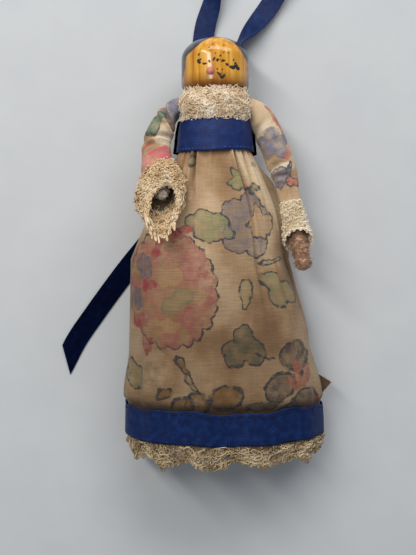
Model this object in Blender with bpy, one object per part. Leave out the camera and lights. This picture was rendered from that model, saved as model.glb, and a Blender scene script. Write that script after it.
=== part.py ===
"""Sachet doll made from a turned clothespin, lying on its back.

Metres. The table is z = 0, +Z is the doll's front, +Y runs from hem to head.
The origin lies on the table under the flat back of the skirt.
"""
import math

import bmesh
import bpy
from mathutils import Vector

for old in list(bpy.data.objects):
    bpy.data.objects.remove(old, do_unlink=True)

# Clearances and cloth
CLEARANCE = 0.0003
CLOTH = 0.0005
LACE = 0.0004
RIBBON = 0.0004

# Turned clothespin
AXIS_HEIGHT = 0.0130
HEAD_TOP_Y = 0.0770
PEG_LENGTH = 0.1080
HEAD_RADIUS = 0.0099
HEAD_CROWN = 0.0065
HEAD_BARREL = 0.0072
HEAD_UNDERCUT = 0.0038
NECK_RADIUS = 0.0041
NECK_LENGTH = 0.0060
PEG_SHOULDER = 0.0040
PEG_BODY_RADIUS = 0.0070
PEG_TIP_RADIUS = 0.0058
PEG_TIP_ROUND = 0.0012
SLOT_LENGTH = 0.0580
SLOT_WIDTH = 0.0030
SLOT_MOUTH = 0.0056

# Enamel bead on the face
BEAD_RADIUS = 0.0011
BEAD_HEIGHT = 0.0007
BEAD_DROP = 0.0116
BEAD_SIDE = -0.0015

# Pile-covered wire stem of the arms
WRAP_RADIUS = 0.0009
WRAP_PITCH = 0.0020
WRAP_TURNS = 1.5
WRAP_FLICK = 0.0013
STEM_RADIUS = 0.0026
HAND_RADIUS = 0.0031
HAND_LENGTH = 0.0092
HAND_CREASE = 0.0005
HAND_FOLD_SHARE = 0.4
HAND_TIP_SHARE = 0.8

# Bodice, yoke and sash
CHEST_RADIUS = 0.0090
COLLAR_RADIUS = 0.0076
COLLAR_RISE = 0.0023
COLLAR_BREAK = 0.7
COLLAR_ROUND = 0.8
BODICE_WAIST_RADIUS = 0.0085
BODICE_LENGTH = 0.0105
BODICE_LAP = 0.0025
ARMHOLE_RADIUS = 0.0022
YOKE_RISE = 0.0045
YOKE_HALF_ANGLE = math.radians(62.0)
SASH_WIDTH = 0.0095
SASH_LAP = 0.0030
WAIST_THREAD = 0.0005

# Skirt, measured down from the waist seam
SKIRT_LENGTH = 0.0860
HIP_DROP = 0.0340
HIP_LEFT = 0.0249
HIP_RIGHT = 0.0202
HEM_LEFT = 0.0260
HEM_RIGHT = 0.0316
LEFT_FULLNESS = 0.15
RIGHT_FULLNESS = 0.9
HEM_SIDE_HEIGHT = 0.0090
HIP_FRONT_HEIGHT = 0.0272
HEM_FRONT_HEIGHT = 0.0234
HEM_SWEEP = 0.0022
REST_DROP = 0.0420
REST_LENGTH = 0.0300
BACK_FLATNESS = 1.25
RIPPLE_DEPTH = 0.0006
RIPPLES = 11
POINTS_PER_RIPPLE = 6
LAP_DROP = 0.0475
LAP_HALF_LENGTH = 0.0130
LAP_REACH = 0.0025
LAP_START = 0.05
LAP_END = 0.70
LAP_BREAKS = (0.6, 1.2)
CORNER_LENGTH = 0.0075
CORNER_REACH = 0.0045

# Hem ribbon and scalloped lace
HEM_RIBBON_WIDTH = 0.0095
HEM_OVERHANG = 0.0013
LACE_DEPTH = 0.0079
SCALLOP_DEPTH = 0.0016

# Sachet inside the skirt
BAG_MARGIN = 0.0020
BAG_MOUTH_DROP = 0.0100
BAG_BELLY_DROP = 0.0220
BAG_FOOT = 0.0050
BAG_FOOT_SPREAD = 0.86
FILL_UNDER_PEG = 0.0030
FILL_START = 0.8
PEG_POCKET = 0.0004
BAG_TIE = 0.0006

# Sleeves and cuffs
SLEEVE_HEAD_RADIUS = 0.0036
ARM_DROP = 0.0018
SLEEVE_ELBOW_RADIUS = 0.0039
LOWER_SLEEVE_RADIUS = 0.0034
LOWER_SLEEVE_LENGTH = 0.0065
ELBOW_SETBACK = 0.0032
CUFF_LAP = 0.0008
# Cuff levels: share of the length, half width and half depth
RIGHT_CUFF_LENGTH = 0.0145
RIGHT_CUFF_LEVELS = ((0, 0.0041, 0.0041), (0.45, 0.0042, 0.0042), (1, 0.0042, 0.0042))
LEFT_CUFF_LENGTH = 0.0170
LEFT_CUFF_LEVELS = ((0, 0.0041, 0.0041), (0.3, 0.0058, 0.0048), (0.65, 0.0064, 0.0050), (1, 0.0058, 0.0052))
LEFT_CUFF_SLANT = 0.0048

# Rest places of the bent arms
RIGHT_ELBOW_DROP = 0.0187
RIGHT_ELBOW_STANDOFF = 0.0036
RIGHT_HAND_DROP = 0.0479
RIGHT_HAND_STANDOFF = 0.0014
RIGHT_HAND_LIFT = 0.0045
LEFT_ELBOW_DROP = 0.0128
LEFT_ELBOW_STANDOFF = 0.0036
LEFT_ELBOW_LIFT = 0.0030
LEFT_MOUTH_DROP = 0.0302
LEFT_MOUTH_SIDE = -0.0146
LEFT_MOUTH_LIFT = 0.0102
LEFT_STEM_SHORT = 0.0030

# Hanger of narrow ribbon, tied behind the waist
NARROW_WIDTH = 0.00635
NARROW_KNOT_WIDTH = 0.0030
NARROW_THICKNESS = 0.0003
TABLE_GAP = 0.0001
KNOT_WIDTH = 0.0070
KNOT_LENGTH = 0.0044
KNOT_HEIGHT = 0.0024
KNOT_ABOVE_WAIST = 0.0043
KNOT_DOME = 0.85
KNOT_LEVELS = (0, 0.35, 0.75, 1)

# Ribbon routes on the table: x, y, tilt of the ribbon about its run in degrees
HANGER_ROUTE = (
    (-0.0019, 0.0529, 0), (-0.0026, 0.0600, 0), (-0.0034, 0.0690, 2),
    (-0.0037, 0.0770, 5), (-0.0029, 0.0835, 10), (-0.0013, 0.0890, 24),
    (0.0006, 0.0970, 62), (0.0030, 0.1050, 86), (0.0078, 0.1125, 90),
    (0.0142, 0.1150, 90), (0.0200, 0.1120, 92), (0.0224, 0.1045, 112),
    (0.0204, 0.0960, 146), (0.0160, 0.0885, 164), (0.0110, 0.0822, 140),
    (0.0075, 0.0776, 108), (0.0064, 0.0735, 116), (0.0053, 0.0680, 154),
    (0.0034, 0.0600, 180), (0.0019, 0.0529, 180),
)
LEFT_TAIL_ROUTE = (
    (-0.0019, 0.0477, 0), (-0.0060, 0.0400, 0), (-0.0120, 0.0295, 0),
    (-0.0190, 0.0190, 0), (-0.0262, 0.0100, 0), (-0.0318, 0.0025, 6),
    (-0.0372, -0.0050, 3), (-0.0420, -0.0120, 2), (-0.0455, -0.0186, 0),
)
# The left tail's end is cut aslant by this much to each side of its middle
TAIL_CUT = 0.0034
RIGHT_TAIL_ROUTE = (
    (0.0019, 0.0477, 0), (0.0062, 0.0390, 0), (0.0112, 0.0290, 0), (0.0152, 0.0190, 0),
    (0.0176, 0.0100, 0),
)
ROUTE_STEPS = 3

# Facets
TURNED_SEGMENTS = 32
SLEEVE_SEGMENTS = 20
STEM_SEGMENTS = 12
THREAD_SEGMENTS = 6
KNOT_SEGMENTS = 16
YOKE_STEPS = 14
CROWN_STEPS = 7
ROUND_STEPS = 5
END_STEPS = 4
TIP_STEPS = 3
SLOT_STEPS = 8
WRAP_STEPS_PER_TURN = 20
WRAP_FLICK_STEPS = 4
SHARP_EDGE = math.radians(40.0)
WELD = 1e-7

# Levels along the peg
NECK_TOP_Y = HEAD_TOP_Y - HEAD_CROWN - HEAD_BARREL - HEAD_UNDERCUT
NECK_BOTTOM_Y = NECK_TOP_Y - NECK_LENGTH
PEG_TIP_Y = HEAD_TOP_Y - PEG_LENGTH
SHOULDER_Y = (NECK_TOP_Y + NECK_BOTTOM_Y) / 2
WAIST_Y = SHOULDER_Y - BODICE_LENGTH
SASH_BOTTOM_Y = WAIST_Y - SASH_LAP
SASH_TOP_Y = SASH_BOTTOM_Y + SASH_WIDTH
HEM_Y = WAIST_Y - SKIRT_LENGTH
RIBBON_BOTTOM_Y = HEM_Y - HEM_OVERHANG
RIBBON_TOP_Y = RIBBON_BOTTOM_Y + HEM_RIBBON_WIDTH
LACE_TOP_Y = HEM_Y - CLEARANCE
LACE_BOTTOM_Y = LACE_TOP_Y - LACE_DEPTH
WAIST_RADIUS = BODICE_WAIST_RADIUS + CLEARANCE + CLOTH
SECTION_POINTS = RIPPLES * POINTS_PER_RIPPLE
SHOULDER_X = CHEST_RADIUS + CLEARANCE + SLEEVE_HEAD_RADIUS
ARM_Y = SHOULDER_Y - ARM_DROP
UP = Vector((0, 0, 1))


def lerp(first, second, share):
    return first + (second - first) * share


def bell(share, fullness):
    """Share of a spread reached at a share of the way down; fullness makes it come early."""
    return lerp(share, math.sin(share * math.pi / 2), fullness)


def skirt_reach(y, hip, hem, fullness):
    """How far the skirt's side stands out from the peg's axis at a level."""
    drop = WAIST_Y - y
    if drop < HIP_DROP:
        return lerp(WAIST_RADIUS, hip, bell(drop / HIP_DROP, fullness))
    return lerp(hip, hem, bell((drop - HIP_DROP) / (SKIRT_LENGTH - HIP_DROP), fullness))


def left_reach(y):
    return skirt_reach(y, HIP_LEFT, HEM_LEFT, LEFT_FULLNESS)


def right_reach(y):
    return skirt_reach(y, HIP_RIGHT, HEM_RIGHT, RIGHT_FULLNESS)


def side_height(y):
    return lerp(AXIS_HEIGHT, HEM_SIDE_HEIGHT, (WAIST_Y - y) / SKIRT_LENGTH)


def front_height(y):
    drop = WAIST_Y - y
    if drop < HIP_DROP:
        return lerp(AXIS_HEIGHT + WAIST_RADIUS, HIP_FRONT_HEIGHT, bell(drop / HIP_DROP, RIGHT_FULLNESS))
    return lerp(HIP_FRONT_HEIGHT, HEM_FRONT_HEIGHT, (drop - HIP_DROP) / (SKIRT_LENGTH - HIP_DROP))


def back_height(y):
    """The skirt's back: down from the waist, flat on the table, then up onto the hem ribbon."""
    drop = WAIST_Y - y
    rest_end = REST_DROP + REST_LENGTH
    ribbon_drop = WAIST_Y - RIBBON_TOP_Y - CLEARANCE
    ribbon_lift = RIBBON + CLEARANCE
    if drop < REST_DROP:
        return lerp(AXIS_HEIGHT - WAIST_RADIUS, 0, drop / REST_DROP)
    if drop <= rest_end:
        return 0
    return ribbon_lift * min(1, (drop - rest_end) / (ribbon_drop - rest_end))


def skirt_front_at(x, y):
    """Height of the skirt's front over a point of the table."""
    reach = left_reach(y) if x < 0 else right_reach(y)
    rise = math.sqrt(max(0, 1 - (x / reach) ** 2))
    return lerp(side_height(y), front_height(y), rise)


def lap_reach(drop, rise):
    """How far the lapped back edge stands out past the right side, below the level of the side."""
    if not LAP_START < -rise < LAP_END:
        return 0
    round_edge = math.sin(math.pi * (-rise - LAP_START) / (LAP_END - LAP_START))
    return LAP_REACH * round_edge * math.exp(-((drop - LAP_DROP) / LAP_HALF_LENGTH) ** 4)


def skirt_ring(y, offset, count=SECTION_POINTS, lapped=False, plain=False):
    """One level of the skirt, moved outward by an offset: round front and flat back.

    Unless it is plain, the front ripples and the hem sweeps up at both sides.
    """
    side = side_height(y)
    drop = WAIST_Y - y
    ripple = 0 if plain else RIPPLE_DEPTH * drop / SKIRT_LENGTH
    below_hip = max(0, (drop - HIP_DROP) / (SKIRT_LENGTH - HIP_DROP))
    sweep = 0 if plain else HEM_SWEEP * below_hip ** 2
    ring = []
    for step in range(count):
        turn = 2 * math.pi * step / count
        across = math.cos(turn)
        rise = math.sin(turn)
        fold = ripple * math.cos(RIPPLES * turn)
        out = offset + fold * max(0, rise)
        reach = right_reach(y) if across > 0 else left_reach(y)
        if lapped and across > 0:
            reach += lap_reach(drop, rise)
        if rise > 0:
            z = side + (front_height(y) + out - side) * rise
        else:
            z = side - (side - back_height(y) + offset) * min(1, -rise * BACK_FLATNESS)
        ring.append(Vector(((reach + out) * across, y + sweep * across ** 4, z)))
    return ring


def peg_ring(y, radius, count=SECTION_POINTS):
    """A round level about the peg's axis."""
    turns = [2 * math.pi * step / count for step in range(count)]
    return [Vector((radius * math.cos(t), y, AXIS_HEIGHT + radius * math.sin(t))) for t in turns]


def close_up(bm):
    bmesh.ops.recalc_face_normals(bm, faces=bm.faces)
    return bm


def loft(rings, loop=False):
    """Skin over rings of equal count; a loop joins the last ring to the first, else both are capped."""
    bm = bmesh.new()
    rows = [[bm.verts.new(point) for point in ring] for ring in rings]
    following = rows[1:] + rows[:1] if loop else rows[1:]
    for row, after in zip(rows, following):
        for here in range(len(row)):
            beside = (here + 1) % len(row)
            bm.faces.new((row[here], row[beside], after[beside], after[here]))
    if not loop:
        bm.faces.new(rows[0])
        bm.faces.new(list(reversed(rows[-1])))
    return close_up(bm)


def turned(profile, origin, axis, segments):
    """Spin a profile of (distance along the axis, radius) about the axis."""
    bm = bmesh.new()
    side = axis.orthogonal().normalized()
    verts = [bm.verts.new(origin + axis * along + side * radius) for along, radius in profile]
    edges = [bm.edges.new(pair) for pair in zip(verts, verts[1:])]
    bmesh.ops.spin(bm, geom=verts + edges, cent=origin, axis=axis, angle=2 * math.pi,
                   steps=segments, use_merge=True)
    bmesh.ops.remove_doubles(bm, verts=bm.verts, dist=WELD)
    return close_up(bm)


def quarter(along, radius_at_start, radius_span, depth, steps, rising):
    """Profile points of a quarter ellipse between a pole side and a full side."""
    points = []
    for step in range(steps + 1):
        turn = math.pi / 2 * step / steps
        sine, cosine = math.sin(turn), math.cos(turn)
        if rising:
            points.append((along + depth * (1 - cosine), radius_at_start + radius_span * sine))
        else:
            points.append((along + depth * sine, radius_at_start + radius_span * cosine))
    return points


def finish_material(name, color, roughness, metallic=0.0):
    material = bpy.data.materials.new(name)
    material.use_nodes = True
    shader = material.node_tree.nodes["Principled BSDF"]
    shader.inputs["Base Color"].default_value = (*color, 1)
    shader.inputs["Roughness"].default_value = roughness
    shader.inputs["Metallic"].default_value = metallic
    return material


VARNISHED_WOOD = finish_material("varnished_wood", (0.50, 0.24, 0.05), 0.25)
PINK_ENAMEL = finish_material("pink_enamel", (0.52, 0.16, 0.14), 0.30)
CHENILLE = finish_material("chenille_pile", (0.44, 0.25, 0.16), 0.95)
PRINTED_COTTON = finish_material("printed_cotton", (0.54, 0.37, 0.20), 0.90)
CREAM_LACE = finish_material("cream_lace", (0.68, 0.55, 0.36), 0.90)
NAVY_RIBBON = finish_material("navy_ribbon", (0.015, 0.03, 0.13), 0.60)
MUSLIN = finish_material("muslin", (0.70, 0.62, 0.48), 0.95)
DRIED_FLOWERS = finish_material("dried_flowers", (0.20, 0.16, 0.20), 0.95)
SEWING_THREAD = finish_material("sewing_thread", (0.62, 0.52, 0.38), 0.80)


def pivot(name, place, parent=None):
    """An empty on a joint's axis; the pieces that turn there are its children."""
    empty = bpy.data.objects.new(name, None)
    bpy.context.collection.objects.link(empty)
    empty.location = place - parent.location if parent else place
    empty.parent = parent
    return empty


def add(name, data, material, holder=None, place=None):
    """Make a named piece from a bmesh in doll coordinates, or from a curve, and hang it on its pivot."""
    if isinstance(data, bmesh.types.BMesh):
        if place:
            bmesh.ops.translate(data, verts=data.verts, vec=-place)
        mesh = bpy.data.meshes.new(name)
        data.to_mesh(mesh)
        data.free()
        mesh.shade_smooth()
        mesh.set_sharp_from_angle(angle=SHARP_EDGE)
        data = mesh
    piece = bpy.data.objects.new(name, data)
    bpy.context.collection.objects.link(piece)
    piece.parent = holder
    data.materials.append(material)
    return piece


def cut(piece, name, bm):
    """Cut a shape out of a piece."""
    cutter = add(name, bm, VARNISHED_WOOD)
    cutter.hide_render = True
    cutter.display_type = "WIRE"
    modifier = piece.modifiers.new(name, "BOOLEAN")
    modifier.operation = "DIFFERENCE"
    modifier.object = cutter


# The peg: domed head, waisted neck and two legs either side of a tapered slot
HEAD_TOP = Vector((0, HEAD_TOP_Y, AXIS_HEIGHT))
DOWN_PEG = Vector((0, -1, 0))
HEAD_SIDE_END = HEAD_CROWN + HEAD_BARREL
SHOULDER_START = HEAD_SIDE_END + HEAD_UNDERCUT + NECK_LENGTH
peg_profile = quarter(0, 0, HEAD_RADIUS, HEAD_CROWN, CROWN_STEPS, True)
peg_profile += quarter(HEAD_SIDE_END, NECK_RADIUS, HEAD_RADIUS - NECK_RADIUS, HEAD_UNDERCUT,
                       ROUND_STEPS, False)
peg_profile += quarter(SHOULDER_START, NECK_RADIUS, PEG_BODY_RADIUS - NECK_RADIUS, PEG_SHOULDER,
                       END_STEPS, True)
peg_profile += quarter(PEG_LENGTH - PEG_TIP_ROUND, PEG_TIP_RADIUS - PEG_TIP_ROUND, PEG_TIP_ROUND,
                       PEG_TIP_ROUND, TIP_STEPS, False)
peg_profile.append((PEG_LENGTH, 0))
peg = add("peg", turned(peg_profile, HEAD_TOP, DOWN_PEG, TURNED_SEGMENTS), VARNISHED_WOOD)

SLOT_TOP_Y = PEG_TIP_Y + SLOT_LENGTH
slot_outline = []
for step in range(SLOT_STEPS + 1):
    turn = math.pi * step / SLOT_STEPS
    slot_outline.append((math.cos(turn) * SLOT_WIDTH / 2,
                         SLOT_TOP_Y + (math.sin(turn) - 1) * SLOT_WIDTH / 2))
slot_outline += [(-SLOT_MOUTH / 2, PEG_TIP_Y), (-SLOT_MOUTH / 2, PEG_TIP_Y - PEG_TIP_ROUND),
                 (SLOT_MOUTH / 2, PEG_TIP_Y - PEG_TIP_ROUND), (SLOT_MOUTH / 2, PEG_TIP_Y)]
slot_faces = [AXIS_HEIGHT - 2 * PEG_BODY_RADIUS, AXIS_HEIGHT + 2 * PEG_BODY_RADIUS]
cut(peg, "slot_cutter", loft([[Vector((x, y, z)) for x, y in slot_outline] for z in slot_faces]))

# The enamel bead sits on the front of the head, beside the painted mouth
bead_out = math.sqrt(HEAD_RADIUS ** 2 - BEAD_SIDE ** 2)
bead_axis = Vector((BEAD_SIDE, 0, bead_out)).normalized()
bead_seat = HEAD_TOP + DOWN_PEG * BEAD_DROP + bead_axis * (HEAD_RADIUS + CLEARANCE / 2)
bead_profile = [(0, 0), (0, BEAD_RADIUS)]
bead_profile += quarter(0, 0, BEAD_RADIUS, BEAD_HEIGHT, END_STEPS, False)[1:]
add("cheek_bead", turned(bead_profile, bead_seat, bead_axis, STEM_SEGMENTS), PINK_ENAMEL)


def wound_stem():
    """The middle of the arm stem, wound round the neck with its ends turned out to the armholes."""
    curve = bpy.data.curves.new("neck_wrap", "CURVE")
    curve.dimensions = "3D"
    curve.bevel_depth = WRAP_RADIUS
    curve.bevel_resolution = 2
    curve.use_fill_caps = True
    steps = int(WRAP_TURNS * WRAP_STEPS_PER_TURN)
    spline = curve.splines.new("POLY")
    spline.points.add(steps)
    for step, point in enumerate(spline.points):
        share = step / steps
        turn = math.pi + 2 * math.pi * WRAP_TURNS * share
        to_end = min(step, steps - step)
        flick = WRAP_FLICK * max(0, 1 - to_end / WRAP_FLICK_STEPS)
        radius = NECK_RADIUS + CLEARANCE + WRAP_RADIUS + flick
        y = SHOULDER_Y + (0.5 - share) * WRAP_PITCH * WRAP_TURNS
        point.co = (radius * math.cos(turn), y, AXIS_HEIGHT + radius * math.sin(turn), 1)
    return curve


add("neck_wrap", wound_stem(), CHENILLE)

# Bodice: a tube from collar to waist with an armhole at each side
BODICE_RINGS = ((SHOULDER_Y + COLLAR_RISE, COLLAR_RADIUS),
                (SHOULDER_Y + COLLAR_RISE * COLLAR_BREAK, lerp(COLLAR_RADIUS, CHEST_RADIUS, COLLAR_ROUND)),
                (SHOULDER_Y, CHEST_RADIUS),
                (WAIST_Y - BODICE_LAP, BODICE_WAIST_RADIUS))
bodice_rings = [peg_ring(y, radius, TURNED_SEGMENTS) for y, radius in BODICE_RINGS]
bodice_rings += [peg_ring(y, radius - CLOTH, TURNED_SEGMENTS) for y, radius in reversed(BODICE_RINGS)]
bodice = add("bodice", loft(bodice_rings, loop=True), PRINTED_COTTON)
armhole_axis = Vector((1, 0, 0))
armhole_profile = [(-SHOULDER_X, 0), (-SHOULDER_X, ARMHOLE_RADIUS),
                   (SHOULDER_X, ARMHOLE_RADIUS), (SHOULDER_X, 0)]
cut(bodice, "armhole_cutter",
    turned(armhole_profile, Vector((0, ARM_Y, AXIS_HEIGHT)), armhole_axis, STEM_SEGMENTS))

# Lace yoke: a strip laid over the chest, from the sash up over the chin
yoke_rings = []
yoke_inner = CHEST_RADIUS + CLEARANCE
for step in range(YOKE_STEPS + 1):
    turn = math.pi / 2 + YOKE_HALF_ANGLE * (1 - 2 * step / YOKE_STEPS)
    section = ((yoke_inner, SASH_TOP_Y + CLEARANCE), (yoke_inner + LACE, SASH_TOP_Y + CLEARANCE),
               (yoke_inner + LACE, SHOULDER_Y + YOKE_RISE), (yoke_inner, SHOULDER_Y + YOKE_RISE))
    yoke_rings.append([Vector((r * math.cos(turn), y, AXIS_HEIGHT + r * math.sin(turn)))
                       for r, y in section])
add("lace_yoke", loft(yoke_rings), CREAM_LACE)


def skirt_band(levels, inner, thickness, lapped=False):
    """A closed band that follows the skirt's section at the given levels."""
    outer_rings = [skirt_ring(y, inner + thickness, lapped=lapped) for y in levels]
    inner_rings = [skirt_ring(y, inner, lapped=lapped) for y in reversed(levels)]
    return loft(outer_rings + inner_rings, loop=True)


# Skirt, from the waist seam to the hem
skirt_drops = (0, HIP_DROP / 3, HIP_DROP * 2 / 3, HIP_DROP, REST_DROP,
               *[LAP_DROP + LAP_HALF_LENGTH * share for share in LAP_BREAKS],
               REST_DROP + REST_LENGTH, WAIST_Y - RIBBON_TOP_Y - CLEARANCE, SKIRT_LENGTH)
add("skirt", skirt_band([WAIST_Y - drop for drop in skirt_drops], -CLOTH, CLOTH, True), PRINTED_COTTON)

# Turned-out corner of the skirt's lapped back edge
corner_bottom = RIBBON_TOP_Y + HEM_SWEEP + CLEARANCE
corner_top = corner_bottom + CORNER_LENGTH
corner_height = side_height(corner_top)
corner_outline = ((right_reach(corner_top) + CLEARANCE, corner_top),
                  (right_reach(corner_top) + CORNER_REACH, corner_top - CORNER_LENGTH / 3),
                  (right_reach(corner_bottom) + CLEARANCE, corner_bottom))
corner_levels = (corner_height - CLOTH / 2, corner_height + CLOTH / 2)
corner_rings = [[Vector((x, y, z)) for x, y in corner_outline] for z in corner_levels]
add("skirt_corner", loft(corner_rings), PRINTED_COTTON)

# Gathering thread in the waist seam and the sash over it
thread_middle = CLEARANCE + WAIST_THREAD / 2
thread_y = WAIST_Y - WAIST_THREAD
thread_rings = []
for step in range(THREAD_SEGMENTS):
    turn = 2 * math.pi * step / THREAD_SEGMENTS
    thread_rings.append(skirt_ring(thread_y + math.sin(turn) * WAIST_THREAD / 2,
                                   thread_middle + math.cos(turn) * WAIST_THREAD / 2))
add("waist_thread", loft(thread_rings, loop=True), SEWING_THREAD)

sash_inner = WAIST_THREAD + 2 * CLEARANCE
sash_rings = [skirt_ring(SASH_BOTTOM_Y, sash_inner), skirt_ring(WAIST_Y, sash_inner),
              peg_ring(SASH_TOP_Y, CHEST_RADIUS + CLEARANCE)]
sash_rings += [peg_ring(SASH_TOP_Y, CHEST_RADIUS + CLEARANCE + RIBBON),
               skirt_ring(WAIST_Y, sash_inner + RIBBON), skirt_ring(SASH_BOTTOM_Y, sash_inner + RIBBON)]
add("sash_ribbon", loft(sash_rings, loop=True), NAVY_RIBBON)

# Hem ribbon over the skirt's edge, and the scalloped lace behind its lower edge
add("hem_ribbon", skirt_band((RIBBON_TOP_Y, HEM_Y, RIBBON_BOTTOM_Y), CLEARANCE, RIBBON), NAVY_RIBBON)


def scalloped(offset):
    """The lace's lower edge: the skirt's section with one scallop to each ripple."""
    ring = skirt_ring(LACE_BOTTOM_Y, offset)
    for step, point in enumerate(ring):
        point.y += SCALLOP_DEPTH * abs(math.sin(math.pi * step / POINTS_PER_RIPPLE + math.pi / 2)) ** 2
    return ring


lace_rings = [skirt_ring(LACE_TOP_Y, 0), skirt_ring(RIBBON_BOTTOM_Y, 0), scalloped(0)]
lace_rings += [scalloped(-LACE), skirt_ring(RIBBON_BOTTOM_Y, -LACE), skirt_ring(LACE_TOP_Y, -LACE)]
add("hem_lace", loft(lace_rings, loop=True), CREAM_LACE)

# Sachet: a muslin bag tied round the peg, filled so that the legs stand in the filling
BAG_COUNT = SECTION_POINTS // 2
BAG_MOUTH_Y = WAIST_Y - BAG_MOUTH_DROP
BAG_BELLY_Y = WAIST_Y - BAG_BELLY_DROP
BAG_END_Y = PEG_TIP_Y - PEG_POCKET - FILL_UNDER_PEG
POCKET_RADIUS = PEG_BODY_RADIUS + PEG_POCKET
BAG_MOUTH_RADIUS = POCKET_RADIUS + CLOTH


def bag_rings(inset):
    """Levels of the bag from its tied mouth to its rounded foot, moved inward by an inset."""
    rings = [peg_ring(BAG_MOUTH_Y, BAG_MOUTH_RADIUS - inset, BAG_COUNT)]
    for share in (0, 0.5, 1):
        y = lerp(BAG_BELLY_Y, BAG_END_Y + BAG_FOOT, share)
        rings.append(skirt_ring(y, -BAG_MARGIN - inset, BAG_COUNT, plain=True))
    foot = skirt_ring(BAG_END_Y + inset, -BAG_MARGIN - inset, BAG_COUNT, plain=True)
    middle = sum(foot, Vector()) / BAG_COUNT
    rings.append([middle.lerp(point, BAG_FOOT_SPREAD) for point in foot])
    return rings


add("sachet_bag", loft(list(reversed(bag_rings(0))) + bag_rings(CLOTH)), MUSLIN)

fill_rings = bag_rings(CLOTH + CLEARANCE)
fill_rings[0] = [mouth.lerp(belly, FILL_START) for mouth, belly in zip(fill_rings[0], fill_rings[1])]
fill_top_y = fill_rings[0][0].y
fill_rings.reverse()
fill_rings += [peg_ring(fill_top_y, POCKET_RADIUS, BAG_COUNT),
               peg_ring(PEG_TIP_Y - PEG_POCKET, POCKET_RADIUS, BAG_COUNT)]
add("sachet_filling", loft(fill_rings), DRIED_FLOWERS)

tie_middle = BAG_MOUTH_RADIUS + CLEARANCE + BAG_TIE / 2
tie_rings = []
for step in range(THREAD_SEGMENTS):
    turn = 2 * math.pi * step / THREAD_SEGMENTS
    tie_rings.append(peg_ring(BAG_MOUTH_Y + math.sin(turn) * BAG_TIE / 2,
                              tie_middle + math.cos(turn) * BAG_TIE / 2, BAG_COUNT))
add("bag_tie", loft(tie_rings, loop=True), SEWING_THREAD)


def ball_and_tube(head_radius, end_radius, length):
    """Profile of a tube that starts as a ball about its pivot."""
    return quarter(-head_radius, 0, head_radius, head_radius, ROUND_STEPS, True) + [(length, end_radius)]


def sleeve(head_radius, end_radius, length, place, axis):
    """Cloth sleeve: rounded over its pivot, open at the other end."""
    outer = ball_and_tube(head_radius, end_radius, length)
    inner = ball_and_tube(head_radius - CLOTH, end_radius - CLOTH, length)
    return turned(outer + list(reversed(inner)), place, axis, SLEEVE_SEGMENTS)


def cuff(place, axis, length, levels, slant):
    """Lace cuff round the end of the lower sleeve; its mouth slants so that the under side is longer."""
    across = axis.cross(UP).normalized()
    over = across.cross(axis)
    turns = [2 * math.pi * step / SLEEVE_SEGMENTS for step in range(SLEEVE_SEGMENTS)]
    rings = []
    for wall, walk in ((0, levels), (LACE, reversed(levels))):
        for share, wide, deep in walk:
            start = LOWER_SLEEVE_LENGTH - CUFF_LAP + length * share
            rings.append([place + axis * (start - slant * share ** 2 * math.sin(t))
                          + across * (wide - wall) * math.cos(t) + over * (deep - wall) * math.sin(t)
                          for t in turns])
    return loft(rings, loop=True)


def arm(side, shoulder, elbow, tip, cuff_form, has_hand):
    """One arm: stem, sleeve and cuff, bent at a shoulder pivot and an elbow pivot."""
    upper_axis = (elbow - shoulder).normalized()
    fore_axis = (tip - elbow).normalized()
    upper_length = (elbow - shoulder).length
    fore_length = (tip - elbow).length
    shoulder_pivot = pivot(side + "_shoulder", shoulder)
    elbow_pivot = pivot(side + "_elbow", elbow, shoulder_pivot)

    upper_end = upper_length - LOWER_SLEEVE_RADIUS - CLEARANCE
    upper_stem = quarter(-STEM_RADIUS, 0, STEM_RADIUS, STEM_RADIUS, TIP_STEPS, True)
    upper_stem += [(upper_end, STEM_RADIUS), (upper_end, 0)]
    add(side + "_upper_stem", turned(upper_stem, shoulder, upper_axis, STEM_SEGMENTS), CHENILLE,
        shoulder_pivot, shoulder)
    add(side + "_upper_sleeve",
        sleeve(SLEEVE_HEAD_RADIUS, SLEEVE_ELBOW_RADIUS, upper_length - ELBOW_SETBACK, shoulder, upper_axis),
        PRINTED_COTTON, shoulder_pivot, shoulder)

    fore_stem = quarter(-STEM_RADIUS, 0, STEM_RADIUS, STEM_RADIUS, TIP_STEPS, True)
    if has_hand:
        wrist = fore_length - HAND_LENGTH
        fold = fore_length - HAND_LENGTH * HAND_FOLD_SHARE
        tip_depth = HAND_RADIUS * HAND_TIP_SHARE
        fore_stem += [(wrist - HAND_RADIUS, STEM_RADIUS), (wrist, HAND_RADIUS),
                      (fold - HAND_CREASE, HAND_RADIUS), (fold, HAND_RADIUS - HAND_CREASE),
                      (fold + HAND_CREASE, HAND_RADIUS)]
        fore_stem += quarter(fore_length - tip_depth, 0, HAND_RADIUS, tip_depth, END_STEPS, False)
    else:
        fore_stem += quarter(fore_length - STEM_RADIUS - LEFT_STEM_SHORT, 0, STEM_RADIUS, STEM_RADIUS,
                             END_STEPS, False)
    add(side + "_fore_stem", turned(fore_stem, elbow, fore_axis, STEM_SEGMENTS), CHENILLE,
        elbow_pivot, elbow)
    add(side + "_lower_sleeve",
        sleeve(LOWER_SLEEVE_RADIUS, LOWER_SLEEVE_RADIUS, LOWER_SLEEVE_LENGTH, elbow, fore_axis),
        PRINTED_COTTON, elbow_pivot, elbow)
    add(side + "_cuff_lace", cuff(elbow, fore_axis, *cuff_form), CREAM_LACE, elbow_pivot, elbow)


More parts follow.
